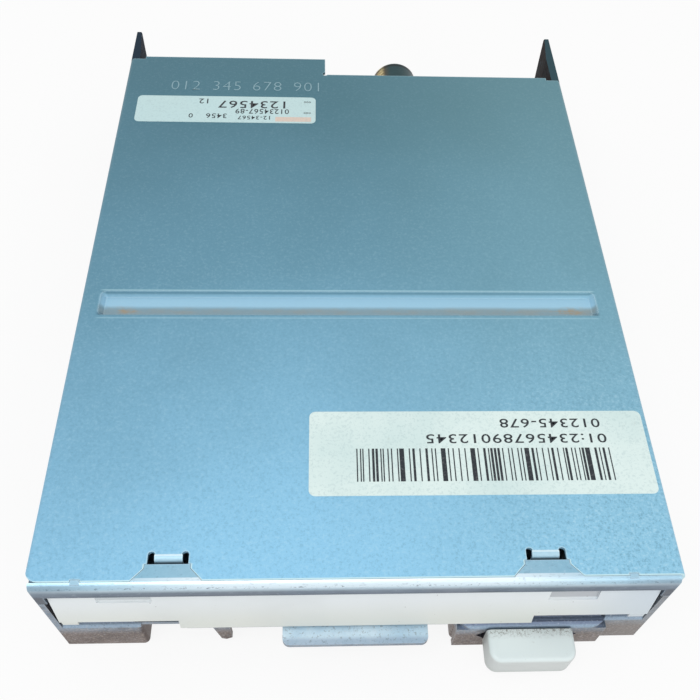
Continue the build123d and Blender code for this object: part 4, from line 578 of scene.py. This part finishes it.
def button_plastic():
    """Pale moulding, its front face a darker painted-shade copy, its root speckled with dirt and painted
    shade where it enters the collar.
    """
    shade = Shade("button_plastic", specular=0.45)
    y = shade.axis("Y")
    z = shade.axis("Z")
    low = corners("eject_button")[0]
    cloud = shade.noise(7, 3, 0.5)
    up = shade.axis("Z", shade.normal)
    # Painted shade: the front face is a darker copy of the up-facing colour
    top = shade.mix(cloud, srgb(218, 231, 232), srgb(228, 238, 238))
    front = shade.mix(cloud, srgb(200, 206, 205), srgb(210, 215, 214))
    tone = shade.mix(shade.smooth(up, 0.2, 0.85), front, top)
    # Darker band at the root where it enters the collar: dirt in the specks, painted shade in the even
    # darkening under them
    root = shade.smooth(y, low.y + 3.6, low.y + 5.6)
    gritty = shade.smooth(shade.noise(0.45, 4, 0.75), 0.5, 0.6)
    grime_and_shade = shade.both(root, shade.math("MULTIPLY_ADD", gritty, 0.65, 0.2))
    tone = shade.mix(grime_and_shade, tone, srgb(112, 108, 102))
    specks = shade.smooth(shade.noise(0.6, 4, 0.75), 0.64, 0.74)
    tone = shade.tint(tone, specks, 0.3, srgb(158, 158, 150))
    below = shade.smooth(z, low.z + 2.6, low.z + 0.4)
    tone = shade.tint(tone, below, 0.35, srgb(178, 184, 178))
    grain = shade.noise(0.28, 2, 0.5)
    shade.bump(grain, 0.008)
    return shade.finish(tone, spread(shade, grain, 0.36, 0.52))


def paper(name, tone, band=None):
    """Label stock: faint fibre, handling marks, and a printed band where one is named."""
    shade = Shade(name, specular=0.35, coat=0.15)
    x = shade.axis("X")
    y = shade.axis("Y")
    fibre = shade.noise(0.8, 4, 0.6)
    cloud = shade.noise(14, 3, 0.5)
    color = shade.tint(tone, shade.smooth(cloud, 0.35, 0.7), 0.5, srgb(196, 222, 222))
    scuff = shade.smooth(shade.noise(2.4, 5, 0.75), 0.63, 0.74)
    color = shade.tint(color, scuff, 0.25, srgb(170, 176, 168))
    if band:
        left, right, front, rear = band
        inked = shade.both(shade.window(x, left, right, 0.12), shade.window(y, front, rear, 0.1))
        color = shade.tint(color, inked, 0.8, srgb(226, 196, 178))
    grain = shade.noise(0.45, 3, 0.7)
    color = shade.tint(color, shade.smooth(grain, 0.5, 0.36), 0.22, srgb(150, 178, 184))
    shade.bump(fibre, 0.004)
    return shade.finish(color, spread(shade, fibre, 0.4, 0.6))


def ink(name, tone):
    """Printed ink, a little broken and faded."""
    shade = Shade(name, specular=0.3)
    worn = shade.smooth(shade.noise(0.5, 4, 0.7), 0.5, 0.75)
    color = shade.tint(tone, worn, 0.4, toned(tone, 0.5, 0.25))
    shade.bump(shade.noise(0.3), 0.002)
    return shade.finish(color, spread(shade, worn, 0.5, 0.62))


def circuit_board(name, mask, trace):
    """Solder mask with copper runs showing through it."""
    shade = Shade(name, specular=0.5, coat=0.35)
    x = shade.axis("X")
    y = shade.axis("Y")
    weave = shade.noise(0.5, 2, 0.5)
    cloud = shade.noise(10, 3, 0.5)
    along = shade.math("PINGPONG", x, 0.65)
    across = shade.math("PINGPONG", y, 0.65)
    zone = shade.smooth(shade.noise(7, 1, 0.3), 0.49, 0.51)
    runs = shade.mix(zone, along, across)
    line = shade.smooth(shade.axis("X", runs), 0.3, 0.4)
    patch = shade.smooth(shade.noise(11, 1, 0.3), 0.42, 0.46)
    copper = shade.both(line, patch)
    color = shade.tint(mask, cloud, 0.4, toned(mask, 0.6))
    color = shade.tint(color, copper, 0.8, trace)
    shade.bump(copper, 0.03, 0.6)
    shade.bump(weave, 0.004)
    return shade.finish(color, spread(shade, weave, 0.22, 0.36))


def winding():
    """Enamelled copper wire laid side by side, the crest of each turn a painted highlight and the groove
    between turns painted shade.
    """
    shade = Shade("winding", metallic=0.55, coat=0.4)
    x = shade.axis("X")
    y = shade.math("SUBTRACT", shade.axis("Y"), spindle_y)
    reach = shade.math("SQRT", shade.math("ADD", shade.both(x, x), shade.both(y, y)))
    turns = shade.math("PINGPONG", reach, 0.14)
    # Painted highlight on each turn's crest, painted shade in the grooves between turns
    crest = shade.smooth(turns, 0.0, 0.12)
    color = shade.mix(crest, srgb(96, 44, 26), srgb(206, 118, 72))
    shade.bump(crest, 0.08)
    return shade.finish(color, 0.32)


def laminated():
    """Stack of thin sheets seen at its edge."""
    shade = Shade("laminated", metallic=0.6)
    layers = shade.math("PINGPONG", shade.axis("Z"), 0.1)
    crest = shade.smooth(layers, 0.02, 0.08)
    color = shade.mix(crest, srgb(70, 74, 82), srgb(134, 140, 150))
    color = shade.tint(color, shade.noise(1.5), 0.4, srgb(96, 84, 74))
    shade.bump(crest, 0.03)
    return shade.finish(color, 0.45)


def flex_film():
    """Amber film with copper runs inside."""
    shade = Shade("flex_film", specular=0.55, coat=0.5)
    x = shade.axis("X")
    stripe = shade.smooth(shade.math("PINGPONG", x, 0.3), 0.1, 0.2)
    cloud = shade.noise(5, 3, 0.5)
    color = shade.mix(stripe, srgb(170, 104, 30), srgb(206, 140, 66))
    color = shade.tint(color, cloud, 0.3, srgb(128, 74, 22))
    shade.bump(stripe, 0.02)
    return shade.finish(color, spread(shade, cloud, 0.2, 0.35))


def motor_can():
    """Drawn can: brushed round and dark teal; the brass on its left side is painted reflection, with a
    painted glint at its left edge.
    """
    shade = Shade("motor_can", metallic=0.7, specular=0.25)
    low, high = corners("stepper_motor")
    ring = shade.noise(0.4, 3, 0.6, shade.stretched(0.2, 3, 0.2))
    # Painted reflection: brass on the left side, and a painted glint along its left edge
    side = shade.smooth(shade.axis("X"), (low.x + high.x) / 2 - 1, low.x + 1)
    color = shade.mix(ring, srgb(26, 48, 52), srgb(54, 84, 88))
    color = shade.tint(color, side, 0.85, srgb(112, 78, 22))
    glint = shade.window(shade.axis("X"), low.x + 1.0, low.x + 2.4, 0.5)
    glint = shade.both(glint, shade.smooth(ring, 0.45, 0.6))
    color = shade.mix(glint, color, srgb(242, 226, 168))
    rim = shade.window(shade.axis("Y"), high.y - 1.5, high.y - 0.7, 0.2)
    color = shade.tint(color, rim, 0.7, srgb(30, 34, 34))
    shade.bump(ring, 0.008)
    return shade.finish(color, spread(shade, ring, 0.24, 0.42))


def glow_lens():
    """Tinted lens of the access lamp."""
    shade = Shade("glow_lens", specular=0.6, coat=0.6)
    cloud = shade.noise(1.2, 2, 0.5)
    color = shade.mix(cloud, srgb(120, 168, 92), srgb(168, 204, 128))
    shade.shader.inputs["Subsurface Weight"].default_value = 0.2
    shade.shader.inputs["Subsurface Radius"].default_value = (0.001, 0.0015, 0.0008)
    shade.bump(cloud, 0.01)
    return shade.finish(color, spread(shade, cloud, 0.12, 0.25))


class Form:
    """A mesh built from simple shapes in millimetres, in the row frame."""

    def __init__(self):
        self.mesh = bmesh.new()

    def block(self, low, high, bevel=0.0):
        """Box between two corners, its edges rounded by bevel."""
        centre = [(a + b) / 2 for a, b in zip(low, high)]
        size = [b - a for a, b in zip(low, high)]
        matrix = Matrix.Translation(Vector(centre) * mm) @ Matrix.Diagonal((*(Vector(size) * mm), 1))
        made = bmesh.ops.create_cube(self.mesh, size=1, matrix=matrix)
        if bevel:
            edges = list({edge for vert in made["verts"] for edge in vert.link_edges})
            bmesh.ops.bevel(
                self.mesh,
                geom=edges,
                offset=bevel * mm,
                segments=2,
                profile=0.5,
                affect="EDGES",
                clamp_overlap=True,
            )

    def cone(self, centre, radius_low, radius_high, height, sides=20):
        """Upright cone or drum that stands on centre."""
        x, y, z = centre
        matrix = Matrix.Translation(Vector((x, y, z + height / 2)) * mm)
        bmesh.ops.create_cone(
            self.mesh,
            cap_ends=True,
            segments=sides,
            radius1=radius_low * mm,
            radius2=radius_high * mm,
            depth=height * mm,
            matrix=matrix,
        )

    def sheet(self, outline, z, gauge):
        """Flat sheet over an outline of (x, y) points."""
        verts = [self.mesh.verts.new(Vector((x, y, z)) * mm) for x, y in outline]
        face = self.mesh.faces.new(verts)
        made = bmesh.ops.extrude_face_region(self.mesh, geom=[face])
        moved = [item for item in made["geom"] if isinstance(item, bmesh.types.BMVert)]
        bmesh.ops.translate(self.mesh, verts=moved, vec=(0, 0, gauge * mm))

    def piece(self, name, body, material, slot):
        """Turns the form into one piece that rides on a body."""
        bmesh.ops.recalc_face_normals(self.mesh, faces=self.mesh.faces)
        data = bpy.data.meshes.new(name)
        self.mesh.to_mesh(data)
        self.mesh.free()
        return settle(bpy.data.objects.new(name, data), body, material)


def settle(piece, body, material):
    """Puts a finished piece in the scene with its material and body."""
    bpy.context.scene.collection.objects.link(piece)
    piece.data.materials.clear()
    piece.data.materials.append(material)
    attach(piece, body)
    return piece


def rounded(x0, x1, y0, y1, radius, steps=6):
    """Outline of a rectangle with round corners."""
    points = []
    for x, y, turn in ((x1, y1, 0), (x0, y1, 90), (x0, y0, 180), (x1, y0, 270)):
        centre_x = x - radius if x == x1 else x + radius
        centre_y = y - radius if y == y1 else y + radius
        for step in range(steps + 1):
            angle = math.radians(turn + 90 * step / steps)
            points.append((centre_x + radius * math.cos(angle), centre_y + radius * math.sin(angle)))
    return points


def lettering(name, rows, z, gauge, material, flipped, offset=0.006):
    """Plain digits as one mesh piece; each row is (text, x, y, height, width share)."""
    group = bmesh.new()
    for text, x, y, height, stretch in rows:
        curve = bpy.data.curves.new(name, "FONT")
        curve.body = text
        curve.size = height * mm / digit_share
        curve.offset = offset * curve.size
        curve.space_character = 1.1
        curve.align_x = "CENTER"
        curve.align_y = "CENTER"
        curve.extrude = gauge * mm / 2
        curve.resolution_u = 3
        holder = bpy.data.objects.new(name, curve)
        bpy.context.scene.collection.objects.link(holder)
        bpy.context.view_layer.update()
        data = bpy.data.meshes.new_from_object(holder)
        turn = Matrix.Rotation(math.pi if flipped else 0.0, 4, "Z")
        wide = Matrix.Diagonal((stretch, 1, 1, 1))
        data.transform(Matrix.Translation(Vector((x, y, z + gauge / 2)) * mm) @ turn @ wide)
        group.from_mesh(data)
        bpy.data.objects.remove(holder)
        bpy.data.curves.remove(curve)
        bpy.data.meshes.remove(data)
    data = bpy.data.meshes.new(name)
    group.to_mesh(data)
    group.free()
    return settle(bpy.data.objects.new(name, data), "frame", material)


def dress_labels(print_ink):
    """Both labels as thin film with generic printing: plain digits and a run of bars."""
    for name in ("small_label", "large_label"):
        low, high = corners(name)
        form = Form()
        form.sheet(rounded(low.x, high.x, low.y, high.y, label_corner), low.z, label_film)
        band = (high.x - 9.0, high.x - 1.0, low.y + 0.5, low.y + 2.1) if name == "small_label" else None
        stock = paper(name + "_stock", label_colors[name], band)
        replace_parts(form.piece(name + "_film", "frame", stock, "label_paper"), name)
    ink_z = cad_box[1].z / mm - ink_lift
    low, high = corners("large_label")
    bars = Form()
    x = low.x + 7.9
    right = high.x - 6.8
    while x < right:
        width = bar_module * seed.choice((1, 1, 1, 1, 2, 2, 4))
        bars.block((x, low.y + 2.6, ink_z), (min(x + width, right), low.y + 8.9, ink_z + ink_lift / 2))
        x += width + bar_module * seed.choice((1, 2, 2, 3, 4))
    bars.piece("large_label_bars", "frame", print_ink, "label_paper")
    middle = (low.x + high.x) / 2
    rows = (
        ("01:23456789012345", middle + 6.4, low.y + 10.9, 1.85, 1.35),
        ("012345-678", middle + 12.6, low.y + 14.0, 1.85, 1.3),
    )
    lettering("large_label_digits", rows, ink_z, ink_lift / 2, print_ink, True)
    low, high = corners("small_label")
    rows = (
        ("1234567", high.x - 14.0, low.y + 6.5, 2.6, 1.16),
        ("01234567-89", high.x - 12.0, low.y + 4.05, 1.7, 0.88),
        ("12-34567", high.x - 13.6, low.y + 1.8, 1.3, 1.0),
        ("3456", low.x + 18.0, low.y + 2.3, 1.6, 1.0),
        ("0", low.x + 12.3, low.y + 2.3, 1.5, 1.0),
        ("12", low.x + 15.0, low.y + 7.5, 1.75, 1.03),
        ("000", high.x - 1.9, low.y + 3.6, 0.6, 1.2),
        ("000", high.x - 1.9, low.y + 7.5, 0.6, 1.2),
    )
    lettering("small_label_digits", rows, ink_z, ink_lift / 2, print_ink, True)


def dress_cover_digits(sheet):
    """Plain digits pressed into the cover behind the small label."""
    row_y = corners("small_label")[1].y + 3.8
    groups = (("012", 13.8), ("345", 23.2), ("678", 32.4), ("901", 41.8))
    rows = [(text, cover_low.x + place, row_y, 3.5, 0.9) for text, place in groups]
    lettering("cover_digits", rows, cover_high.z - 0.02, 0.07, sheet, False, -0.022)


def dress_chips(lead):
    """Gull-wing leads of the two packages under the main board."""
    under = corners("main_board")[0].z
    form = Form()
    packages = (
        (-14.0, front_plane + 111.0, 14.0, 14.0, 1.4, 0.8, 15, True),
        (20.0, front_plane + 101.0, 11.0, 7.5, 1.3, 1.27, 8, False),
    )
    for x, y, length, width, gauge, pitch, count, all_round in packages:
        middle = under - gauge / 2
        for number in range(count):
            along = (number - (count - 1) / 2) * pitch
            sides = [(x + along, y, 0, width / 2)]
            if all_round:
                sides.append((x, y + along, 1, length / 2))
            for centre_x, centre_y, turned, half in sides:
                for side in (-1, 1):
                    add_lead(form, centre_x, centre_y, turned, side, half, middle, under)
    form.piece("chip_leads", "frame", lead, "screw_steel")


def add_lead(form, x, y, turned, side, half, middle, under):
    """One bent lead: out of the package's side, up to the board, and a foot on it."""
    half_lead = 0.17
    reach = 1.1
    gauge = 0.15
    inner = half - 0.1
    knee = half + reach * 0.45
    toe = half + reach
    stretches = (
        (inner, knee, middle - gauge / 2, middle + gauge / 2),
        (knee - gauge, knee, middle - gauge / 2, under),
        (knee - gauge, toe, under - gauge, under),
    )
    for near, far, z0, z1 in stretches:
        a, b = sorted((side * near, side * far))
        if turned:
            form.block((x + a, y - half_lead, z0), (x + b, y + half_lead, z1))
        else:
            form.block((x - half_lead, y + a, z0), (x + half_lead, y + b, z1))


def dress_passives(ceramic, lead):
    """Small resistors and capacitors in rows under the main board and the motor board."""
    under = corners("main_board")[0].z
    bodies = Form()
    ends = Form()
    rows = (
        (-28.0, front_plane + 92.0, 6, 2.6, 0),
        (-2.0, front_plane + 92.0, 5, 2.6, 0),
        (30.0, front_plane + 94.0, 4, 2.6, 0),
        (2.0, front_plane + 108.0, 4, 2.4, 1),
        (10.0, front_plane + 112.0, 5, 2.6, 0),
        (-26.5, front_plane + 112.0, 4, 2.4, 1),
        (-14.0, front_plane + 124.5, 5, 2.6, 0),
        (18.0, front_plane + 122.0, 6, 2.6, 0),
        (38.0, front_plane + 100.0, 5, 2.4, 1),
        (-40.0, front_plane + 112.0, 5, 2.4, 1),
    )
    for x, y, count, pitch, turned in rows:
        for number in range(count):
            if seed.random() < 0.12:
                continue
            centre_x = x + (0 if turned else (number - count / 2) * pitch)
            centre_y = y + ((number - count / 2) * pitch if turned else 0)
            add_passive(bodies, ends, centre_x, centre_y, under, turned)
    motor_low, motor_high = corners("motor_board")
    for side in (-1, 1):
        for number in (-1, 0, 1):
            for centre_y in (motor_low.y + 2.4, motor_high.y - 2.4):
                add_passive(bodies, ends, side * 22.0 + number * 2.4, centre_y, motor_low.z, 0)
    bodies.piece("chip_passives", "frame", ceramic, "black_plastic")
    ends.piece("passive_ends", "frame", lead, "screw_steel")


def add_passive(bodies, ends, x, y, under, turned):
    """One chip component on the underside of a board, its caps a little proud of its body."""
    half_long = 1.0
    half_wide = 0.62
    tall = 0.5
    cap = 0.35
    proud = 0.03
    longer = 0.04
    bevel = 0.05

    def brick(form, near, far, half, low, high):
        if turned:
            form.block((x + near, y - half, low), (x + far, y + half, high), bevel)
        else:
            form.block((x - half, y + near, low), (x + half, y + far, high), bevel)

    brick(bodies, -half_long, half_long, half_wide, under - tall, under - proud)
    for side in (-1, 1):
        near, far = sorted((side * half_long, side * (half_long - cap)))
        brick(ends, near - longer, far + longer, half_wide + proud, under - tall - proud, under)


def dress_slide_springs(wire):
    """Tension springs, hooked to the chassis in front and to the slide plate behind."""
    for side in ("left", "right"):
        node = "slide_spring_" + side
        piece = bpy.data.objects.new("stretching_spring_" + side, nodes[node].data.copy())
        bpy.context.scene.collection.objects.link(piece)
        piece.data.materials.clear()
        piece.data.materials.append(wire)
        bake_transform(piece)
        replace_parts(piece, node)


def dress_solder(solder):
    """Solder cones under the pins that pass through the main board."""
    under = corners("main_board")[0].z
    form = Form()
    rows = (
        ("header_pins", header_columns, (0.0, header_row_gap), 0.28, 0.85, 0.55),
        ("power_pins", power_columns, (0.0,), 0.35, 1.0, 0.65),
    )
    for node, columns, steps, tip, root, tall in rows:
        low, high = corners(node)
        pitch = (high.x - low.x - pin_width) / (columns - 1)
        for column in range(columns):
            x = low.x + pin_width / 2 + column * pitch
            for step in steps:
                form.cone((x, low.y + pin_width / 2 + step, under - tall), tip, root, tall, 16)
    form.piece("solder_joints", "frame", solder, "screw_steel")


def dress_nodes():
    """A material for every CAD node."""
    steel = ruled_metal("bright_sheet", srgb(196, 200, 204), srgb(150, 156, 162))
    drawn_look = (srgb(206, 208, 210), srgb(166, 170, 176), 0.85, (0.2, 0.36), (3, 0.3, 3))
    drawn = ruled_metal("drawn_bar", *drawn_look)
    turned_look = (srgb(200, 202, 204), srgb(158, 162, 168), 0.85, (0.22, 0.38), (3, 3, 0.3))
    turned = ruled_metal("turned_steel", *turned_look)
    zinc = ruled_metal("zinc_screw", srgb(204, 202, 190), srgb(160, 156, 142), 0.8, (0.3, 0.46))
    wire = ruled_metal("spring_wire", srgb(176, 178, 182), srgb(124, 126, 132), 0.85, (0.24, 0.4))
    bronze = ruled_metal("sintered_bronze", srgb(196, 152, 92), srgb(142, 104, 60), 0.75, (0.34, 0.52))
    gold = ruled_metal("plated_pin", srgb(222, 190, 120), srgb(186, 150, 84), 0.85, (0.2, 0.34))
    black = moulded("black_moulding", srgb(38, 39, 42), srgb(26, 27, 30))
    grey = moulded("grey_moulding", srgb(86, 88, 92), srgb(66, 68, 72))
    nylon = moulded("natural_nylon", srgb(228, 224, 208), srgb(206, 200, 180), coat=0.1)
    ferrite = moulded("bonded_ferrite", srgb(62, 60, 62), srgb(44, 42, 44), (0.5, 0.68))
    ceramic = moulded("head_ceramic", srgb(64, 58, 54), srgb(44, 40, 38), (0.12, 0.24), 0.002, 0.3)
    green = circuit_board("green_board", srgb(30, 92, 52), srgb(58, 132, 78))
    materials = {
        "chassis": chassis_sheet(),
        "top_cover": cover_sheet(),
        "front_crossbar": bar_sheet(),
        "small_label": paper("small_label_paper", label_colors["small_label"]),
        "large_label": paper("large_label_paper", label_colors["large_label"]),
        "door_flap": flap_plastic(),
        "eject_button": button_plastic(),
        "stator_core": laminated(),
        "stator_coils": winding(),
        "rotor_magnet": ferrite,
        "flex_cable": flex_film(),
        "stepper_motor": motor_can(),
        "access_lamp": glow_lens(),
        "lower_head": ceramic,
        "upper_head": ceramic,
    }
    shared = (
        (steel, "slide_plate disk_holder shutter_lever rotor_cup hub_plate rod_clamps stepper_bracket"),
        (turned, "slide_studs holder_pins lever_pin spindle_shaft drive_pin arm_pin follower_pin"),
        (drawn, "guide_rods lead_screw"),
        (zinc, "motor_board_screws clamp_screws bracket_screws board_screws"),
        (wire, "door_spring slide_spring_left slide_spring_right lever_spring arm_spring"),
        (bronze, "spindle_bearing screw_bearing stepper_bush"),
        (gold, "header_pins power_pins"),
        (black, "track_sensor switch_bodies board_chips capacitors interface_header"),
        (grey, "head_carriage upper_arm"),
        (nylon, "protect_plunger disk_plunger density_plunger power_connector flex_connector"),
        (green, "motor_board small_boards main_board"),
    )
    for material, names in shared:
        for name in names.split():
            materials[name] = material
    for name, node in nodes.items():
        node.data.materials.clear()
        node.data.materials.append(materials[name])
    return materials


def add_stage():
    """Pale floor that keeps the object's shadow, and a white surround."""
    floor_mesh = bmesh.new()
    bmesh.ops.create_grid(floor_mesh, x_segments=1, y_segments=1, size=floor_half)
    data = bpy.data.meshes.new("floor")
    floor_mesh.to_mesh(data)
    floor_mesh.free()
    floor = bpy.data.objects.new("floor", data)
    floor.location.z = cad_box[0].z - floor_gap
    bpy.context.scene.collection.objects.link(floor)
    material = bpy.data.materials.new("floor_white")
    material.use_nodes = True
    tree = material.node_tree
    tree.nodes.clear()
    diffuse = tree.nodes.new("ShaderNodeBsdfDiffuse")
    diffuse.inputs["Color"].default_value = (0.86, 0.86, 0.86, 1)
    glow = tree.nodes.new("ShaderNodeEmission")
    glow.inputs["Strength"].default_value = 1.0
    share = tree.nodes.new("ShaderNodeMath")
    share.operation = "MULTIPLY"
    share.inputs[1].default_value = floor_glow
    tree.links.new(seen_rays(tree), share.inputs[0])
    mixed = tree.nodes.new("ShaderNodeMixShader")
    tree.links.new(share.outputs[0], mixed.inputs[0])
    tree.links.new(diffuse.outputs[0], mixed.inputs[1])
    tree.links.new(glow.outputs[0], mixed.inputs[2])
    output = tree.nodes.new("ShaderNodeOutputMaterial")
    tree.links.new(mixed.outputs[0], output.inputs["Surface"])
    data.materials.append(material)


def seen_rays(tree):
    """1 for rays from the camera, from gloss and through glass, 0 for light on the object."""
    path = tree.nodes.new("ShaderNodeLightPath")
    first = tree.nodes.new("ShaderNodeMath")
    first.operation = "MAXIMUM"
    tree.links.new(path.outputs["Is Camera Ray"], first.inputs[0])
    tree.links.new(path.outputs["Is Glossy Ray"], first.inputs[1])
    second = tree.nodes.new("ShaderNodeMath")
    second.operation = "MAXIMUM"
    tree.links.new(first.outputs[0], second.inputs[0])
    tree.links.new(path.outputs["Is Transmission Ray"], second.inputs[1])
    return second.outputs[0]


def add_light():
    """White surround, dimmer where it lights the object, and two soft lamps."""
    world = bpy.data.worlds.new("studio")
    bpy.context.scene.world = world
    world.use_nodes = True
    tree = world.node_tree
    tree.nodes.clear()
    strength = tree.nodes.new("ShaderNodeMapRange")
    strength.inputs["To Min"].default_value = world_light
    strength.inputs["To Max"].default_value = 1.0
    tree.links.new(seen_rays(tree), strength.inputs["Value"])
    background = tree.nodes.new("ShaderNodeBackground")
    background.inputs["Color"].default_value = (1, 1, 1, 1)
    tree.links.new(strength.outputs["Result"], background.inputs["Strength"])
    output = tree.nodes.new("ShaderNodeOutputWorld")
    tree.links.new(background.outputs[0], output.inputs["Surface"])
    for name, place, size, power in lamps:
        lamp = bpy.data.lights.new(name, "AREA")
        lamp.shape = "DISK"
        lamp.size = size
        lamp.energy = power
        holder = bpy.data.objects.new(name, lamp)
        holder.location = place
        holder.rotation_mode = "QUATERNION"
        holder.rotation_quaternion = (-Vector(place)).to_track_quat("-Z", "Y")
        bpy.context.scene.collection.objects.link(holder)


def add_camera():
    """Camera at the photograph's place: in front of the drive and above it."""
    inward = Matrix.Identity(3)
    for angle, letter in zip(camera_turn, "XYZ"):
        inward = Matrix.Rotation(math.radians(angle), 3, letter) @ inward
    place = Vector((camera_place[0], camera_place[1] + front_plane, camera_place[2])) * mm
    data = bpy.data.cameras.new("photo_camera")
    data.sensor_width = 36.0
    data.lens = focal_pixels / picture_size * data.sensor_width
    data.shift_x = (picture_size / 2 - picture_centre[0]) / picture_size
    data.shift_y = (picture_centre[1] - picture_size / 2) / picture_size
    data.clip_start = 0.005
    data.clip_end = 20
    camera = bpy.data.objects.new("photo_camera", data)
    camera.matrix_world = Matrix.Translation(place) @ inward.transposed().to_4x4()
    bpy.context.scene.collection.objects.link(camera)
    bpy.context.scene.camera = camera


materials = dress_nodes()
print_ink = ink("label_ink", srgb(40, 46, 52))
dress_labels(print_ink)
# The pressed digits get a paler copy of the coat: a painted highlight on their strokes
dress_cover_digits(cover_sheet("pressed_digits_painted_highlight", 0.3))
lead = ruled_metal("tinned_lead", srgb(196, 198, 200), srgb(150, 152, 156), 0.8, (0.28, 0.44))
dress_chips(lead)
dress_passives(moulded("chip_ceramic", srgb(60, 52, 46), srgb(38, 34, 32)), lead)
dress_slide_springs(materials["slide_spring_left"])
dress_solder(ruled_metal("solder", srgb(190, 194, 196), srgb(146, 150, 152), 0.85, (0.2, 0.34)))
add_stage()
add_light()
add_camera()
bpy.context.scene.view_settings.view_transform = "Standard"
